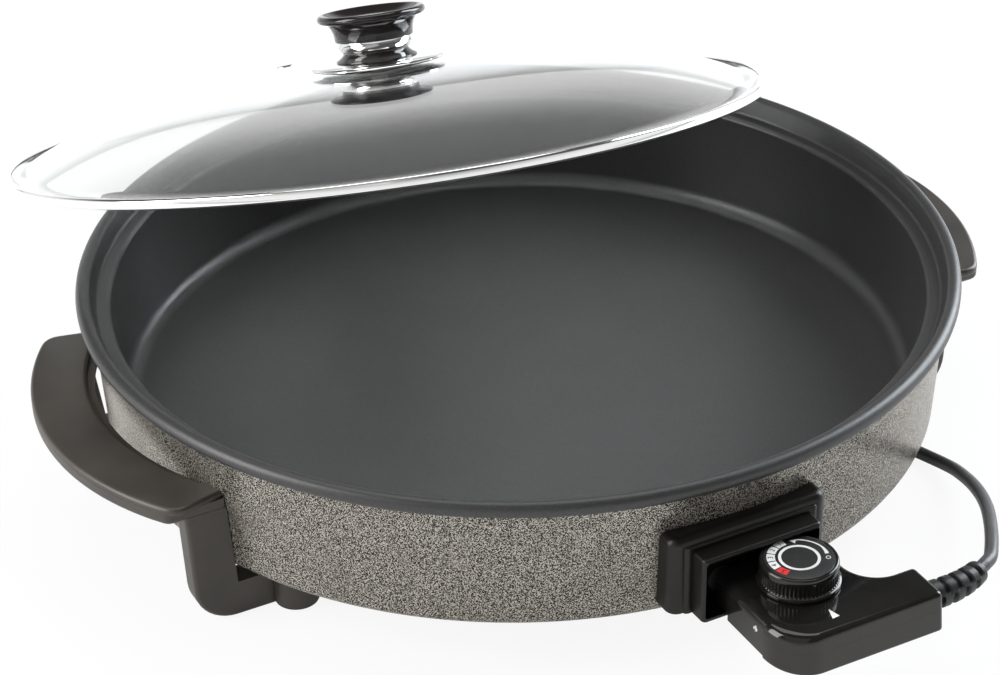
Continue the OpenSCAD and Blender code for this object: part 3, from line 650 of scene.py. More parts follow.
def hammertone():
    """Silver-grey coating with a fine dark maze in it, glossy over its grain."""
    m, n, l, s = shader("hammertone", (0.2, 0.19, 0.165), 0.3, 0.6, Specular_Tint=WARM)
    maze = noise(n, l, 1900.0, 0.4, 0.5, 0.8)
    broad = noise(n, l, 45.0, 2.0)
    tint(n, l, s, maze, [
        (0.43, (0.012, 0.01, 0.008)), (0.5, (0.1, 0.09, 0.075)), (0.57, (0.48, 0.45, 0.395))])
    rough_range(n, l, s, broad, 0.22, 0.32)
    bump(n, l, s, maze, 0.3, 0.06)
    return m


def nonstick():
    """Black non-stick coating with a very fine grain."""
    m, n, l, s = shader("nonstick", (0.022, 0.022, 0.021), 0.42, Coat_Weight=0.15, Coat_Roughness=0.35)
    grain = noise(n, l, 1400.0, 2.0)
    cloud = noise(n, l, 25.0, 3.0)
    tint(n, l, s, grain, [(0.3, grey(0.016)), (0.7, grey(0.034))])
    rough_range(n, l, s, cloud, 0.36, 0.5)
    bump(n, l, s, grain, 0.25, 0.05)
    return m


def moulded(name, color, low, high, grain=900.0, depth=0.03, strength=0.2, **sockets):
    """Moulded plastic: colour and gloss a little patchy, and a fine grain."""
    m, n, l, s = shader(name, color, (low + high) / 2, **sockets)
    fine = noise(n, l, grain, 2.0)
    broad = noise(n, l, 35.0, 3.0)
    tint(n, l, s, broad, [(0.3, scaled(color, 0.75)), (0.7, scaled(color, 1.25))])
    rough_range(n, l, s, broad, low, high)
    bump(n, l, s, fine, strength, depth)
    return m


def metal(name, color, low, high, scale=(60.0, 60.0, 900.0), strength=0.1):
    """Metal with uneven gloss; an uneven scale stretches it into fine drawn lines."""
    m, n, l, s = shader(name, color, (low + high) / 2, 1.0)
    where = n.new("ShaderNodeTexCoord")
    stretch = n.new("ShaderNodeMapping")
    set_sockets(stretch, Scale=scale)
    texture = n.new("ShaderNodeTexNoise")
    set_sockets(texture, Scale=1.0, Detail=3.0)
    l.new(where.outputs["Object"], stretch.inputs["Vector"])
    l.new(stretch.outputs["Vector"], texture.inputs["Vector"])
    rough_range(n, l, s, texture.outputs["Fac"], low, high)
    bump(n, l, s, texture.outputs["Fac"], strength, 0.02)
    return m


def clear_glass():
    m, n, l, s = shader("clear_glass", (0.97, 0.985, 0.98), 0.0, Transmission_Weight=1.0, IOR=1.52,
                        Coat_Weight=0.6, Coat_Roughness=0.02, Coat_IOR=1.6)
    smear = noise(n, l, 18.0, 4.0)
    rough_range(n, l, s, smear, 0.0, 0.035)
    return m


def ceramic():
    m, n, l, s = shader("ceramic", (0.86, 0.84, 0.79), 0.55)
    grain = noise(n, l, 700.0, 3.0)
    tint(n, l, s, grain, [(0.3, (0.8, 0.78, 0.73)), (0.7, (0.9, 0.88, 0.84))])
    bump(n, l, s, grain, 0.2, 0.04)
    return m


def rubber(name, color, low, high):
    m, n, l, s = shader(name, color, (low + high) / 2)
    fine = noise(n, l, 500.0, 3.0)
    broad = noise(n, l, 40.0, 2.0)
    tint(n, l, s, broad, [(0.3, scaled(color, 0.75)), (0.7, scaled(color, 1.3))])
    rough_range(n, l, s, fine, low, high)
    bump(n, l, s, fine, 0.25, 0.05)
    return m


def woven():
    """Dark strap with fine, slightly wavy bands for its weave."""
    m, n, l, s = shader("woven", (0.03, 0.03, 0.032), 0.85)
    where = n.new("ShaderNodeTexCoord")
    wave = n.new("ShaderNodeTexWave")
    set_sockets(wave, Scale=900.0, Distortion=1.5)
    l.new(where.outputs["Object"], wave.inputs["Vector"])
    tint(n, l, s, wave.outputs["Fac"], [(0.2, grey(0.012)), (0.8, grey(0.05))])
    bump(n, l, s, wave.outputs["Fac"], 0.6, 0.15)
    return m


make_camera()

# Grain of a plastic or an ink that is nearly smooth
FINE = {"depth": 0.01, "strength": 0.05}

MAT = {
    "hammertone": hammertone(),
    "nonstick": nonstick(),
    "grip": moulded("grip_plastic", (0.036, 0.0315, 0.0265), 0.36, 0.46, Specular_IOR_Level=0.6,
                    Specular_Tint=WARM),
    "guard": moulded("guard_plastic", (0.005, 0.0045, 0.004), 0.3, 0.4, depth=0.02, strength=0.1,
                     Specular_IOR_Level=0.35, Specular_Tint=WARM),
    "satin": moulded("satin_plastic", grey(0.03), 0.36, 0.46),
    "gloss": moulded("gloss_plastic", (0.009, 0.0085, 0.008), 0.07, 0.13, Specular_Tint=WARM, **FINE),
    "knob": moulded("knob_plastic", (0.012, 0.009, 0.009), 0.06, 0.12, **FINE),
    "chrome": metal("chrome", (0.86, 0.86, 0.85), 0.04, 0.1, (40.0, 40.0, 40.0), 0.03),
    "steel": metal("steel", (0.58, 0.57, 0.56), 0.25, 0.4),
    "pale_steel": metal("pale_steel", (0.9, 0.9, 0.89), 0.3, 0.42),
    "brass": metal("brass", (0.78, 0.58, 0.28), 0.2, 0.35),
    "glass": clear_glass(),
    "ceramic": ceramic(),
    "cord": rubber("cord_rubber", (0.035, 0.034, 0.037), 0.34, 0.46),
    "relief": rubber("relief_rubber", (0.009, 0.009, 0.0095), 0.36, 0.48),
    "silicone": rubber("silicone", (0.45, 0.45, 0.44), 0.5, 0.65),
    "print": moulded("print_black", grey(0.02), 0.22, 0.32, **FINE),
    "white_ink": moulded("white_ink", (0.62, 0.61, 0.6), 0.4, 0.5, **FINE),
    "red_ink": moulded("red_ink", (0.62, 0.02, 0.02), 0.35, 0.45, **FINE),
    "strap": woven(),
}


def finish(obj, material, body, slot, *nodes):
    """Gives a piece its material and body, and hides the CAD nodes that it stands for; slot is not used."""
    obj.data.materials.clear()
    obj.data.materials.append(MAT[material])
    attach(obj, body)
    if nodes:
        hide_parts(*nodes)
    return obj


def finish_cut(obj, name, *look):
    """Names a piece that has been cut or added to, mends its normals and finishes it."""
    obj.name = name
    tidy_normals(obj)
    return finish(obj, *look)


# Plug

PLUG_PLACE = moved(PLUG_X, PLUG_FRONT, 0)


def plug_outline(inset):
    half = PLUG_W / 2 - inset
    r = PLUG_CORNER - inset
    far = PLUG_L - inset
    return rounded([(-half, inset, r), (half, inset, r), (half, far, r), (-half, far, r)])


def plug():
    back = prism("plug_back", plug_outline(3), 0, PLUG_BACK_H, 0, 2.0, 4)
    face = prism("plug_face", plug_outline(0), PLUG_BACK_H, PLUG_H, 1.2, 1.2, 3)
    sleeve_place = moved(0, -PLUG_SLEEVE, PLUG_ENTRY_Z) @ turned(-90, "X")
    r = CORD_D / 2
    profile = [(0, 0), (r + 0.7, 0), (r + 1.1, 0.5)]
    for i in range(3):
        wide = r + 0.3 * i
        profile += raised(2.6 + 3.6 * i, [
            (wide + 1.2, 0), (wide + 0.6, 0.3), (wide + 0.6, 1.5), (wide + 1.4, 1.8)])
    profile += [(r + 3, PLUG_SLEEVE + 1), (r + 3, PLUG_SLEEVE + 5), (0, PLUG_SLEEVE + 5)]
    sleeve = lathe("plug_sleeve", profile, 48, matrix=sleeve_place)
    body = add(back, face)
    body = add(body, sleeve)
    for s in (-1, 1):
        for y in (14, 20, 26, 32):
            x = s * 22.6
            slot = block("slot", (x - 1.4, y - 1.2, 2.5), (x + 1.4, y + 1.2, PLUG_BACK_H - 1), 0.4)
            body = cut(body, slot)
    seat = block("seat", (-6, FUSE_Y[0], PLUG_H - 0.8), (6, FUSE_Y[1], PLUG_H + 1))
    body = cut(body, seat)
    body.data.transform(PLUG_PLACE)
    return finish_cut(body, "plug_moulding", "satin", "base", "matte_black", "plug_body")


def plug_pins():
    root = PLUG_H - 4
    pins = [block("earth", (-2, PIN_Y - 4, root), (2, PIN_Y + 4, PLUG_H + EARTH_OUT), 0.7)]
    for x in (-PIN_HALF_APART, PIN_HALF_APART):
        y = PIN_Y - PIN_ROWS
        low, high = (x - PIN_HALF_W, y - 2, root), (x + PIN_HALF_W, y + 2, PLUG_H + PIN_OUT)
        pins.append(block("pin", low, high, 0.7))
    pins = join(pins, "plug_blades")
    pins.data.transform(PLUG_PLACE)
    return finish(pins, "brass", "base", "brass", "plug_pins")


def fuse_cover():
    low, high = FUSE_Y
    cover = block("fuse_door", (-5.8, low + 0.2, PLUG_H - 3.9), (5.8, high - 0.2, PLUG_H + 0.25), 0.5)
    cover = cut(cover, block("groove", (-0.6, low + 2, PLUG_H - 0.3), (0.6, high - 2, PLUG_H + 1)))
    cover.data.transform(PLUG_PLACE)
    return finish_cut(cover, "fuse_door", "grip", "base", "matte_black", "fuse_cover")


# Cord

def coil_points():
    total = 360.0 * COIL_TURNS
    count = int(COIL_TURNS * COIL_STEPS)
    out = []
    for i in range(count + 1):
        t = total * i / count
        r = COIL_R - COIL_PITCH * min(t, total - t) / 360
        z = COIL_LIE + COIL_LAYER * min(1, max(0, (t - total / 2 + 90) / 180))
        x, y = polar(r, t)
        out.append(Vector((COIL_CENTRE[0] + x, COIL_CENTRE[1] + y, z)))
    return out


def cord(plug_pieces):
    path = catmull(CORD_ROUTE, ROUTE_STEPS) + coil_points() + catmull(LEAD_ROUTE, ROUTE_STEPS)
    obj = tube("flex", path, CORD_D / 2, 20)
    obj.data.materials.append(MAT["cord"])
    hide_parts("mains_cord", "cord_coil", "cord_lead")
    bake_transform(obj)


def cord_tie():
    """A strap round the coil's two strands, with its loose end laid over."""
    r = COIL_R - COIL_PITCH * 270 / 360
    half = CORD_D / 2 + 0.3
    high = COIL_LIE + COIL_LAYER + CORD_D / 2 + 0.3
    t = TIE_T
    side, roof = half + t, high + t
    outer = rounded([(-side, 0, 2.6), (side, 0, 2.6), (side, roof, 3.4), (-side, roof, 3.4)])
    inner = rounded([(-half, t, 1.8), (half, t, 1.8), (half, high, 2.6), (-half, high, 2.6)])
    turn = Matrix(((0, 0, 1, 0), (1, 0, 0, 0), (0, 1, 0, 0), (0, 0, 0, 1)))
    place = moved(COIL_CENTRE[0] - TIE_W / 2, COIL_CENTRE[1] - r, 0) @ turn
    strap = prism("tie_strap", outer, 0, TIE_W, 0.25, 0.25, 2)
    strap = cut(strap, prism("inside", inner, -1, TIE_W + 1))
    end = rounded([(side - 0.1, high - 7, 0.3), (side + t, high - 7, 0.3),
                   (side + t, high - 1, 0.5), (side - 0.1, high - 0.5, 0.3)])
    strap = add(strap, prism("end", end, 0.2, TIE_W - 0.2, 0.2, 0.2, 2))
    strap.data.transform(place)
    return finish_cut(strap, "tie_strap", "strap", "base", "tie_strap", "cord_tie")


tie = cord_tie()
cord([plug(), plug_pins(), fuse_cover(), tie])


# Pan

def wall_r(z):
    return WALL_BASE_R + (WALL_TOP_R - WALL_BASE_R) * (z - BASE_Z) / (WALL_TOP_Z - BASE_Z)


def pan_space(gap):
    """The room that the pan's outside takes, to cut the pieces that lie against it."""
    profile = [(0, BASE_Z - gap), (wall_r(BASE_Z) + gap, BASE_Z - gap), (WALL_TOP_R + gap, WALL_TOP_Z),
               (LIP_R + gap, LIP_Z), (LIP_R + gap, LIP_Z + 40), (0, LIP_Z + 40)]
    return lathe("pan_space", profile, 256)


def pan():
    bulb = (LIP_R - LIP_BULB, LIP_Z)
    inner_top = WALL_TOP_R - WALL_T
    inner_low = WALL_BASE_R - WALL_T
    groove = arc((ELEMENT_R, ELEMENT_Z), GROOVE_R, -25, 205, 14)
    under = [(0, BASE_Z)] + rounded([
        (0, BASE_Z), (ELEMENT_R - RIDGE_HALF, BASE_Z, 1.0), (ELEMENT_R - RIDGE_HALF + 0.8, RIDGE_Z, 0.8),
        (ELEMENT_R - GROOVE_R, RIDGE_Z)], closed=False)[1:]
    under += list(reversed(groove))
    under += rounded([
        (ELEMENT_R + GROOVE_R, RIDGE_Z), (ELEMENT_R + RIDGE_HALF - 0.8, RIDGE_Z, 0.8),
        (ELEMENT_R + RIDGE_HALF, BASE_Z, 1.0), (WALL_BASE_R, BASE_Z, BASE_FILLET),
        (WALL_TOP_R, WALL_TOP_Z, 1.2), (LIP_R - 2.2, LIP_Z - 3.2)], closed=False, step=8)
    lip = arc(bulb, LIP_BULB, -62, 150, 16)
    inside = rounded([
        lip[-1], (LEDGE_OUT + 0.8, LEDGE_Z + 1.2, 1.0), (LEDGE_OUT, LEDGE_Z, 0.8),
        (inner_top, LEDGE_Z, SHOULDER_R), (inner_low, FLOOR_Z, FLOOR_FILLET), (0, FLOOR_Z)],
        closed=False, step=8)[1:]
    body = lathe("pan_casting", under + lip + inside, 320, smooth_angle=40.0)
    body.data.materials.append(MAT["hammertone"])
    body.data.materials.append(MAT["nonstick"])
    for p in body.data.polygons:
        c = p.center / MM
        r = math.hypot(c.x, c.y)
        inside_face = r < wall_r(c.z) - 2 and c.z > (BASE_Z + FLOOR_Z) / 2
        p.material_index = 1 if c.z > WALL_TOP_Z - 0.2 or inside_face else 0
    lug_profile = [(2.05, LUG_Z), (LUG_R - 0.8, LUG_Z), (LUG_R, LUG_Z + 0.8), (LUG_R + 0.3, BASE_Z - 1),
                   (LUG_R + 1.5, BASE_Z + 0.1), (2.05, BASE_Z + 0.1)]
    lugs = [body]
    for sx in (-1, 1):
        for sy in (-1, 1):
            place = moved(sx * PILLAR[0], sy * PILLAR[1], 0)
            lug = lathe("lug", lug_profile, 48, closed=True, matrix=place)
            lug.data.materials.append(MAT["hammertone"])
            lugs.append(lug)
    body = join(lugs, "pan_casting")
    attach(body, "base")
    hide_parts("pan")


# Handles

def grip_outline(half, slant, corner, tip, ledge):
    """Plan of a layer of the grip: outer arc, ends and the finger opening, narrowed by the ledge."""
    centre = GRIP_EDGE_R - GRIP_REACH
    side = math.degrees(math.asin(half / GRIP_EDGE_R))
    corner_x = centre - math.sqrt(GRIP_EDGE_R ** 2 - half ** 2)
    tip_y = half - slant
    finger_y = FINGER_SIDE - ledge / 2
    finger_side = math.degrees(math.asin(finger_y / FINGER_R))
    finger_centre = (FINGER_X + ledge + FINGER_R, 0)
    end = [(corner_x, half, corner), (GRIP_TIP_X, tip_y + GRIP_TIP_OUT, tip),
           (GRIP_BACK, tip_y - GRIP_TIP_IN), (GRIP_BACK, finger_y)]
    return rounded(
        arc((centre, 0), GRIP_EDGE_R, 184 - side, 176 + side, 36)
        + [(x, -y, *r) for x, y, *r in end]
        + arc(finger_centre, FINGER_R, 180 + finger_side, 180 - finger_side, 30)
        + end[::-1]
    )


def leg(outer_x, foot_x, root_x):
    """One L-shaped leg in side view, drawn along Y; its inner side leans out with the wall of the pan."""
    root_z = GRIP_Z - GRIP_T + 2
    outline = rounded([
        (outer_x, root_z), (outer_x + LEG_LEAN, 0, LEG_CORNER), (-PILLAR[0], 0), (-PILLAR[0], LUG_Z),
        (foot_x, LUG_Z), (root_x, root_z)], step=8)
    turn = Matrix(((1, 0, 0, 0), (0, 0, -1, 0), (0, 1, 0, 0), (0, 0, 0, 1)))

    def inner(x, z):
        return z > LUG_Z - 0.01 and x > root_x - 0.01

    return prism("leg", outline, 0, LEG_T, LEG_ROUND, 2.0, 5, matrix=turn, crisp=inner)


def handle(name, half_turn, node):
    plate = grip_outline(GRIP_HALF, GRIP_SLANT, GRIP_CORNER, GRIP_TIP_R, 0)
    body = prism("grip", plate, GRIP_Z - GRIP_PLATE, GRIP_Z, 2.0, 1.5, 5)
    ledge = grip_outline(LEG_SIDE, LEDGE_SLANT, LEDGE_CORNER, 0.0, LEDGE_IN)
    low = prism("ledge", ledge, GRIP_Z - GRIP_T, GRIP_Z - GRIP_PLATE + 1.0, 0.0, 2.4, 5)
    body = add(body, low)
    for s in (-1, 1):
        post = leg(*(LEG_WIDE if s < 0 else LEG_THIN))
        if s > 0:
            post.data.transform(Matrix.Scale(-1, 4, (0, 1, 0)))
            post.data.flip_normals()
        post.data.transform(moved(0, s * (LEG_SIDE - LEG_T), 0))
        body = add(body, post)
        place = moved(-PILLAR[0], s * PILLAR[1], 0)
        nub = lathe("nub", [(0, PILLAR_LOW), (PILLAR_R - 1.6, PILLAR_LOW), (PILLAR_R - 0.5, PILLAR_LOW + 0.5),
                            (PILLAR_R, PILLAR_LOW + 1.6), (PILLAR_R, LUG_Z), (0, LUG_Z)], 64, matrix=place)
        body = add(body, nub)
        body = cut(body, bore(SCREW_BORE_R, -1, LUG_Z + 3, place, 40))
        body = cut(body, bore(SCREW_HEAD_R, -1, SCREW_SEAT_Z, place, 40))
    body = cut(body, pan_space(0.15))
    if half_turn:
        body.data.transform(Matrix.Rotation(math.pi, 4, "Z"))
    return finish_cut(body, name, "grip", "base", "matte_black", node)


# Socket guard

def guard_plan(half, front, r, taper=0.0, step=15.0):
    """Plan of one block of the guard, with its two front corners rounded."""
    near = half - taper
    return rounded([(-half, GUARD_BACK), (-near, front, r), (near, front, r), (half, GUARD_BACK)], step=step)


def guard():
    low, high = GUARD_LOW, GUARD_HIGH
    plate = guard_plan(GUARD_HALF, -GUARD_FRONT, 5.5, step=10)
    body = prism("guard_plate", plate, low, high, 4.2, 1.5, 6)
    step = guard_plan(STEP_HALF, -GUARD_FRONT - STEP_OUT, 2.5)
    body = add(body, prism("step", step, low + 0.3, COLLAR_HIGH + 2.4, 1.0, 0.5, 3))
    collar = guard_plan(COLLAR_HALF, -COLLAR_FRONT, 2.2, taper=0.8)
    body = add(body, prism("collar", collar, low, COLLAR_HIGH, 1.4, 1.0, 4))
    half = COLLAR_HALF - COLLAR_WALL
    mouth = block("mouth", (-half, -COLLAR_FRONT - 5, low + COLLAR_WALL),
                  (half, -180, COLLAR_HIGH - COLLAR_WALL), 1.2, 3)
    body = cut(body, mouth)
    body = cut(body, block("seat", *INLET_SEAT))
    body = cut(body, pan_space(0.1))
    return finish_cut(body, "inlet_guard", "guard", "base", "matte_black", "socket_guard")


# Thermostat

DIAL_PLACE = moved(*DIAL_AT, 0)


def body_outline(inset=0.0):
    """Plan of the thermostat: neck, rounded corner, arm, fingertip scoop, platform under the dial."""
    neck = NECK_HALF - inset
    platform = PLATFORM_R - inset
    scoop = SCOOP_AT[1] - ARM_BACK + inset
    meeting = math.degrees(math.acos((neck - DIAL_AT[0]) / platform))
    edge = ARM_END - inset
    r = max(0.4, 2.5 - inset)
    corner = []
    for i in range(19):
        a = math.radians(180 + 5 * i)
        corner.append((CORNER_W - BODY_HALF + (CORNER_W - inset) * math.cos(a),
                       BODY_FRONT + CORNER_L + (CORNER_L - inset) * math.sin(a)))
    nose = NOSE_R - NECK_HALF, NECK_BACK - NOSE_R
    return rounded(
        arc(nose, NOSE_R - inset, 90, 180, 9) + [(-neck, corner[0][1] + 0.8)] + corner
        + [(edge, BODY_FRONT + inset, r), (edge, ARM_BACK - inset, r)]
        + arc(SCOOP_AT, scoop, -90, -180, 22)
        + arc(DIAL_AT, platform, 6, meeting, 14)
        + [(neck, NECK_BACK - inset, r)],
        step=10,
    )


def eased_ring(share, z, sign):
    """A ring of the housing's skin, part of the way round its edge, which is softer towards -X."""
    sharp = body_outline(EDGE_ROUND * (1 - math.cos(share)))
    soft = body_outline(SIDE_ROUND * (1 - math.cos(share)))
    ring = []
    for (x, y), (u, v) in zip(sharp, soft):
        w = min(1.0, max(0.0, (2.0 - x) / 14.0))
        r = EDGE_ROUND + (SIDE_ROUND - EDGE_ROUND) * w
        ring.append((x + (u - x) * w, y + (v - y) * w, z - sign * r * (1 - math.sin(share))))
    return ring


def lean_front(mesh):
    """Leans the front wall back a little towards its top."""
    for v in mesh.vertices:
        share = min(1.0, max(0.0, (ARM_BACK - 3 - v.co.y / MM) / 12))
        v.co.y += share * FRONT_LEAN * (v.co.z - LEAN_FROM_Z * MM)


def finish_shell(body, name, node):
    """Bores a shell of the thermostat for the strain relief, leans its front and finishes it."""
    place = moved(ARM_END - 4, *RELIEF_AT[1:]) @ turned(90, "Y")
    body = cut(body, bore(5.1, 0, 8, place))
    lean_front(body.data)
    finish_cut(body, name, "gloss", "thermostat", "gloss_black", node)


def thermostat_top():
    steps = 8
    low = PARTING_Z + 0.02
    rings = [[(x, y, low) for x, y in body_outline()]]
    for i in range(steps + 1):
        rings.append(eased_ring(math.pi / 2 * i / steps, BODY_TOP, 1))
    body = loft("housing_top", rings)
    body = cut(body, prism("hollow", body_outline(2.0), PARTING_Z - 2, BODY_TOP - 2.5))
    body = cut(body, bore(3.2, BODY_TOP - 8, BODY_TOP + 4, DIAL_PLACE))
    finish_shell(body, "housing_top", "thermostat_top")


def thermostat_base():
    body = prism("housing_base", body_outline(), BODY_LOW, PARTING_Z - 0.02, 0.0, 1.6, 4)
    body = cut(body, block("under_neck", (-40, NECK_STEP, BODY_LOW - 3), (40, -190, NECK_LOW)))
    body = cut(body, prism("hollow", body_outline(2.0), BODY_LOW + 5.5, PARTING_Z + 2))
    finish_shell(body, "housing_base", "thermostat_base")


def strain_relief():
    """Tapered sleeve, bent with the cord, with deep slots cut in turn from below and from above."""
    root = 2.5
    pitch = 6.4
    width = 2.8
    depth = 1.7
    cuts = ((140.0, 3.2, 74.0), (-15.0, 6.4, 80.0))

    def radius(s, angle):
        s = s - root
        if s < -0.01:
            return 5.0
        share = s / RELIEF_LEN
        base = RELIEF_ROOT + (RELIEF_TIP - RELIEF_ROOT) * share ** 2
        if s > RELIEF_LEN - 0.9:
            base -= 0.6 * (s - RELIEF_LEN + 0.9) / 0.9
        for middle, first, half in cuts:
            k = round((s - first) / pitch)
            off = abs(s - first - pitch * k)
            turn = abs((math.degrees(angle) - middle + 180) % 360 - 180)
            if 0 <= k <= 3 and turn < half and off < width / 2:
                edge = min(1.0, (width / 2 - off) / 0.35, (half - turn) / 9)
                return base - depth * edge
        return base

    count = int((RELIEF_LEN + root) / 0.35)
    marks = [(RELIEF_LEN + root) * i / count - root for i in range(count + 1)]
    path = [relief_point(s) if s > 0 else (RELIEF_AT[0] + s, *RELIEF_AT[1:]) for s in marks]
    body = tube("relief_sleeve", path, radius, 72)
    shade(body.data, 40.0)
    return finish(body, "relief", "thermostat", "cord_rubber", "strain_relief")


def pointer_mark():
    mark = prism("pointer", POINTER, BODY_TOP - 0.05, BODY_TOP + 0.06)
    return finish(mark, "white_ink", "thermostat", "dial_print")


def side_pin():
    place = moved(2 - NECK_HALF, SIDE_PIN_Y, PARTING_Z + 0.7) @ turned(-90, "Y")
    profile = [(0, 0), (1.5, 0), (1.5, 2.0), (1.3, 2.3), (0.9, 2.45), (0.9, 2.2), (0, 2.2)]
    pin = lathe("side_rivet", profile, 32, matrix=place)
    return finish(pin, "chrome", "thermostat", "polished_steel", "side_pin")


# Dial

def dial_knob():
    r = DIAL_D / 2
    flutes = 60
    band = DIAL_TOP - 3.6

    def fluted(angle, radius, z):
        deep = 0.38 if DIAL_LOW + 2.3 < z < band - 0.3 else 0.0
        return radius - deep * (0.5 + 0.5 * math.cos(flutes * angle))

    profile = raised(DIAL_LOW, [
        (0, 0), (r + 1.0, 0), (r + 1.2, 0.2), (r + 1.2, 1.3), (r + 0.9, 1.6), (r + 0.35, 1.8),
        (r + 0.25, 2.1), (r + 0.1, 2.4), (r, 3.2)])
    profile += raised(band, [(r - 0.05, -0.6), (r - 0.05, 0), (r, 0.4)])
    profile += raised(DIAL_TOP, [
        (r, -1.4), (r - 0.12, -0.8), (r - 0.4, -0.35), (r - 0.8, -0.12), (r - 1.15, -0.12),
        (r - 1.45, -0.25), (r - 1.65, -0.5), (0, -0.5)])
    knob = lathe("dial_cap", profile, 480, matrix=DIAL_PLACE, smooth_angle=30.0, radius=fluted)
    return finish(knob, "gloss", "dial", "gloss_black", "dial_knob")


def ring_piece(radii, start, end, low, high, steps):
    """A flat stretch of ring between two radii and two angles."""
    inner, outer = radii
    outline = arc((0, 0), outer, start, end, steps) + arc((0, 0), inner, end, start, steps)
    return prism("ring_piece", outline, low, high)


def digit(text, angle, radius, size, low, high):
    curve = bpy.data.curves.new("digit", "FONT")
    curve.body = text
    curve.size = size * MM
    curve.align_x = "CENTER"
    curve.align_y = "CENTER"
    curve.extrude = (high - low) / 2 * MM
    obj = new_object("digit", curve)
    bpy.context.view_layer.update()
    graph = bpy.context.evaluated_depsgraph_get()
    mesh = bpy.data.meshes.new_from_object(obj.evaluated_get(graph))
    bpy.data.objects.remove(obj)
    mesh.transform(moved(*polar(radius, angle), (low + high) / 2) @ turned(angle - 90, "Z"))
    return new_object("digit", mesh)


def dial_print():
    """The printed face: a ring, numbered marks, a red mark, a swelling arrow and an off mark."""
    profile = raised(DIAL_TOP, [(0, -0.5), (15.2, -0.5), (15.2, -0.12), (15.05, -0.08), (0, -0.08)])
    disc = lathe("dial_face", profile, 128, matrix=DIAL_PLACE)
    finish(disc, "print", "dial", "dial_print", "dial_label")
    low, high = DIAL_TOP - 0.12, DIAL_TOP
    places = [MARK_FIRST + MARK_STEP * i for i in range(MARK_COUNT)]

    def mark(angle):
        return ring_piece(MARK_RS, angle - MARK_HALF, angle + MARK_HALF, low, high, 10)

    white = [ring_piece(RING_RS, 0, 360, low, high, 96)] + [mark(a) for a in places[:-1]]
    steps = 32
    outer = arc((0, 0), ARROW_OUT_R, ARROW_START, ARROW_START + ARROW_TURN, steps)
    inner = []
    for i in range(steps):
        turn = ARROW_START + ARROW_TURN * i / steps
        inner.append(polar(ARROW_HEAD[-1][0] - min(1.0, max(0.0, (12 - turn) / 24)), turn))
    head = [polar(*corner) for corner in ARROW_HEAD]
    white.append(prism("arrow", outer + head + inner[::-1], low, high))
    white.append(ring_piece(OFF_RS, 0, 360, low, high, 24))
    white[-1].data.transform(moved(*polar(*OFF_AT), 0))
    light = join(white, "dial_marks")
    light.data.transform(DIAL_PLACE)
    finish(light, "white_ink", "dial", "dial_print")
    red = mark(places[-1])
    red.data.transform(DIAL_PLACE)
    red.name = "dial_red_mark"
    finish(red, "red_ink", "dial", "dial_print")
    digits = [digit(str(i + 1), a, DIGIT_R, DIGIT_H, low, high + 0.05) for i, a in enumerate(places)]
    numbers = join(digits, "dial_numbers")
    numbers.data.transform(DIAL_PLACE)
    weld(numbers.data)
    finish(numbers, "print", "dial", "dial_print")


# Lid

def lid_matrix():
    return moved(*LID_AT) @ turned(LID_LEAN, "Z") @ turned(LID_TILT, "Y")


def lid_piece(name, profile, steps, material, slot, node, closed=True, smooth_angle=35.0):
    """A turned piece of the lid, with its profile in the lid's own frame."""
    piece = lathe(name, profile, steps, closed=closed, matrix=lid_matrix(), smooth_angle=smooth_angle)
    return finish(piece, material, "lid", slot, node)


def dome(r):
    half = GLASS_T / 2
    return half + (LID_RISE - half) * (1 - (min(r, DOME_EDGE) / DOME_EDGE) ** DOME_POWER)


def lid_glass():
    half = GLASS_T / 2
    steps = 48
    rs = [DOME_EDGE * (i / steps) for i in range(1, steps + 1)]
    upper = [(5.0, dome(5))] + [(r, dome(r)) for r in rs if r > 5]
    lower = [(r, dome(r) - GLASS_T) for r in reversed(rs) if r > 5] + [(5.0, dome(5) - GLASS_T)]
    edge = LID_R - 0.6
    profile = upper + arc((edge - half, 0), half, 90, -90, 8) + lower
    return lid_piece("lid_pane", profile, 288, "glass", "clear_glass", "lid_glass", smooth_angle=50.0)


def lid_rim():
    """Rolled steel band round the glass, in section a C with rounded lips."""
    h = RIM_H / 2
    t = 0.5
    r = 1.4
    lip = LID_R - 3.9
    bend = LID_R - 1.6
    outside = [(lip, h), (bend, h)] + arc((LID_R - r, h - r), r, 80, 0, 6)
    outside += arc((LID_R - r, r - h), r, 0, -80, 6) + [(bend, -h), (lip, -h)]
    inside = [(lip - 0.3, 0.25 - h), (lip, t - h), (bend, t - h), (LID_R - t, r - h),
              (LID_R - t, h - r), (bend, h - t), (lip, h - t), (lip - 0.3, h - 0.25)]
    profile = outside + inside
    return lid_piece("lid_band", profile, 288, "chrome", "polished_steel", "lid_rim", smooth_angle=40.0)


def vent():
    slope = math.atan((dome(VENT_R - 1) - dome(VENT_R + 1)) / 2)
    place = lid_matrix() @ turned(VENT_TURN, "Z") @ moved(VENT_R, 0, dome(VENT_R))
    place = place @ Matrix.Rotation(slope, 4, "Y")
    profile = raised(-GLASS_T, [(2.4, -1.1), (5.2, -1.1), (5.5, -0.7), (5.4, -0.3), (3.5, -0.25)])
    profile += [(3.5, 0.2), (5.9, 0.2), (6.0, 0.5), (5.6, 0.9), (4.2, 1.15), (3.0, 1.0), (2.5, 0.5)]
    eyelet = lathe("steam_vent", profile, 48, closed=True, matrix=place)
    return finish(eyelet, "chrome", "lid", "polished_steel", "vent_eyelet")


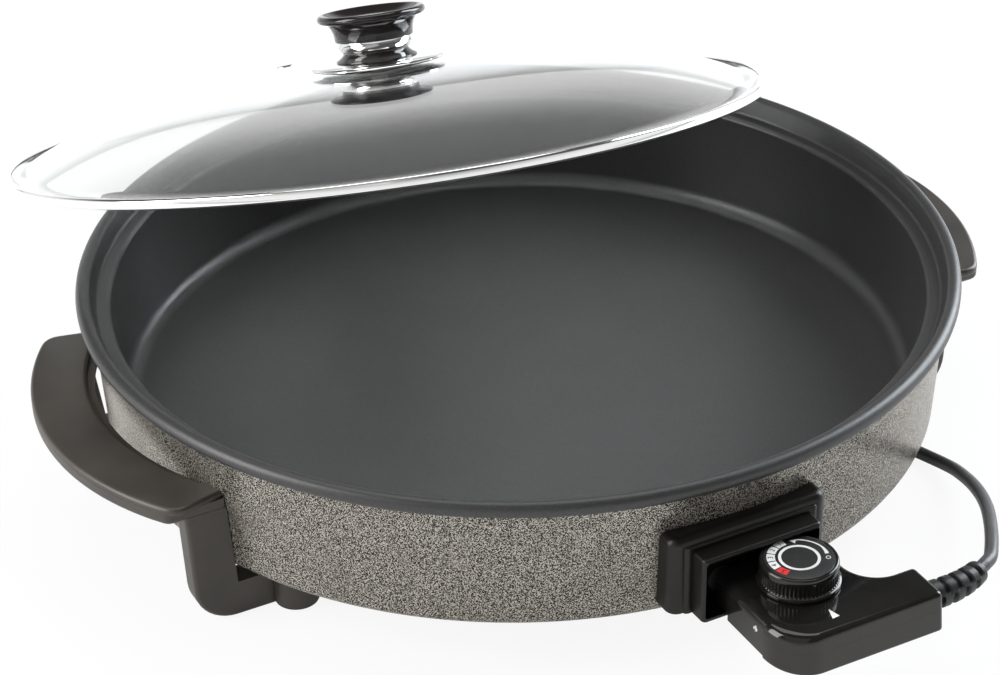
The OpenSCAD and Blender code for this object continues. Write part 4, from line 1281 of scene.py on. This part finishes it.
def knob_skirt():
    profile = raised(SKIRT_Z, [
        (KNOB_BORE_R, 0), (28.6, 0), (29.2, 0.2), (29.5, 0.5), (29.9, 0.7), (33.2, 0.9), (34.5, 1.2),
        (35, 1.7), (35, 2.2), (34.6, 2.6), (33.4, 2.9), (24, 3.5), (21.5, 3.6), (KNOB_BORE_R, 3.6)])
    return lid_piece("knob_plate", profile, 192, "chrome", "polished_steel", "knob_skirt")


def knob_foot():
    profile = raised(FOOT_Z, [
        (KNOB_BORE_R, 0), (20.8, 0), (21.0, 0.3), (20.9, 0.7), (19.8, 1.3), (18.4, 2.2), (17.3, 3.2),
        (16.8, 4.2), (KNOB_BORE_R, 4.2)])
    return lid_piece("knob_base", profile, 128, "knob", "gloss_black", "knob_foot")


def knob_band():
    profile = raised(BAND_Z, [
        (KNOB_BORE_R, 0), (16.9, 0), (17.9, 0.9), (18.8, 2.1), (19.5, 3.5), (20.0, 5.0), (20.2, 6.3),
        (20.0, 6.5), (KNOB_BORE_R, 6.5)])
    return lid_piece("knob_ferrule", profile, 128, "chrome", "polished_steel", "knob_band")


def knob_body():
    """Waisted grip with a ring round its top and a seat for the insert."""
    waist = raised(KNOB_Z, [
        (0, 7.5), (2.5, 7.5), (2.5, 0), (20.0, 0), (20.3, 0.3), (20.4, 2.0), (20.8, 4.4), (21.6, 6.8),
        (22.8, 8.8), (24.3, 10.1)])
    ring = arc((KNOB_R - KNOB_RING_R, KNOB_TOP - KNOB_RING_R), KNOB_RING_R, -110, 120, 14)
    seat = raised(KNOB_TOP, [
        (24, -0.8), (22.4, -1.6), (20, -3), (17, -3.9), (16.1, -4), (16.1, -5), (0, -5)])
    return lid_piece("knob_grip", waist + ring + seat, 160, "knob", "gloss_black", "knob_body", closed=False)


def knob_insert():
    profile = raised(KNOB_TOP - 5, [(0, 0), (16, 0), (16, 1.1), (15.7, 1.3), (12, 0.95), (6, 0.62), (0, 0.5)])
    return lid_piece("knob_disc", profile, 128, "pale_steel", "polished_steel", "knob_insert", closed=False)


# CAD nodes whose shape is kept, by material
KEPT = {
    "steel": ("heating_element", "guard_screws", "handle_screws", "knob_washer", "knob_screw",
              "housing_screws", "probe_tip", "probe_spring", "cord_clamp", "dial_shaft"),
    "brass": ("earth_pin", "contact_sleeves", "thermostat_switch"),
    "ceramic": ("contact_holder", "terminal_block"),
    "silicone": ("knob_gasket", "inner_gasket"),
    "cord": ("supply_wires", "cord_tail"),
    "guard": ("inlet_plate",),
    "satin": ("pin_insulators",),
}


def dress_kept_nodes():
    for material, names in KEPT.items():
        for name in names:
            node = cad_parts[name]
            node.data.materials.clear()
            node.data.materials.append(MAT[material])


# Studio

def by_ray(nodes, links, other, glossy, seen):
    """A number by the kind of ray: seen by the eye or through glass, glossy, or any other."""
    path = nodes.new("ShaderNodeLightPath")
    eye = nodes.new("ShaderNodeMath")
    eye.operation = "MAXIMUM"
    links.new(path.outputs["Is Camera Ray"], eye.inputs[0])
    links.new(path.outputs["Is Transmission Ray"], eye.inputs[1])
    shiny = nodes.new("ShaderNodeMapRange")
    set_sockets(shiny, To_Min=other)
    links.new(path.outputs["Is Glossy Ray"], shiny.inputs["Value"])
    if isinstance(glossy, float):
        set_sockets(shiny, To_Max=glossy)
    else:
        links.new(glossy, shiny.inputs["To Max"])
    out = nodes.new("ShaderNodeMapRange")
    set_sockets(out, To_Max=seen)
    links.new(eye.outputs["Value"], out.inputs["Value"])
    links.new(shiny.outputs["Result"], out.inputs["To Min"])
    return out.outputs["Result"]


def world_light():
    """White round the horizon and dim overhead, as in a studio with white walls and a dark ceiling."""
    world = bpy.data.worlds.new("studio")
    bpy.context.scene.world = world
    world.use_nodes = True
    nodes, links = world.node_tree.nodes, world.node_tree.links
    where = nodes.new("ShaderNodeTexCoord")
    split = nodes.new("ShaderNodeSeparateXYZ")
    height = nodes.new("ShaderNodeMapRange")
    height.interpolation_type = "SMOOTHSTEP"
    set_sockets(height, From_Min=0.08, From_Max=0.42, To_Min=1.0, To_Max=0.1)
    links.new(where.outputs["Generated"], split.inputs["Vector"])
    links.new(split.outputs["Z"], height.inputs["Value"])
    background = nodes["Background"]
    links.new(by_ray(nodes, links, 0.33, height.outputs["Result"], 1.0), background.inputs["Strength"])
    set_sockets(background, Color=(1, 1, 1, 1))


# Where all lamps point; lamp places and sizes are in metres
LIGHT_AIM = (0.0, 0.0, 0.05)


def area_light(name, at, size, power, color=(1.0, 1.0, 1.0)):
    data = bpy.data.lights.new(name, "AREA")
    data.shape = "RECTANGLE"
    data.size, data.size_y = size
    data.energy = power
    data.color = color
    light = new_object(name, data)
    light.location = at
    light.rotation_euler = (Vector(LIGHT_AIM) - Vector(at)).to_track_quat("-Z", "Y").to_euler()


FLOOR_DROP = 0.0005


def floor():
    """A pale floor, brightened for the eye, for metal and for glass, with the object's shadow kept."""
    bm = bmesh.new()
    bmesh.ops.create_grid(bm, x_segments=1, y_segments=1, size=6.0)
    obj = from_bmesh("floor", bm)
    obj.location.z = -FLOOR_DROP
    m, n, l, s = shader("floor", grey(0.85), 0.9, Specular_IOR_Level=0.1)
    glow = n.new("ShaderNodeEmission")
    mix = n.new("ShaderNodeMixShader")
    l.new(by_ray(n, l, 0.0, 0.25, 0.9), mix.inputs["Fac"])
    l.new(s.outputs["BSDF"], mix.inputs[1])
    l.new(glow.outputs["Emission"], mix.inputs[2])
    l.new(mix.outputs["Shader"], n["Material Output"].inputs["Surface"])
    obj.data.materials.append(m)


pan()
handle("left_handle", False, "handle_left")
handle("right_handle", True, "handle_right")
guard()
thermostat_top()
thermostat_base()
strain_relief()
pointer_mark()
side_pin()
dial_knob()
dial_print()
lid_glass()
lid_rim()
vent()
knob_skirt()
knob_foot()
knob_band()
knob_body()
knob_insert()
dress_kept_nodes()
world_light()
floor()
area_light("key", (-1.6, -1.5, 1.8), (2.2, 2.2), 6)
area_light("right", (2.0, 0.2, 1.1), (1.2, 1.8), 74, (0.88, 0.94, 1.0))
area_light("left", (-2.0, 0.3, 1.1), (1.2, 1.8), 54)
area_light("top", (0.2, 0.6, 2.4), (2.0, 1.4), 22)

bpy.context.scene.view_settings.view_transform = "Standard"
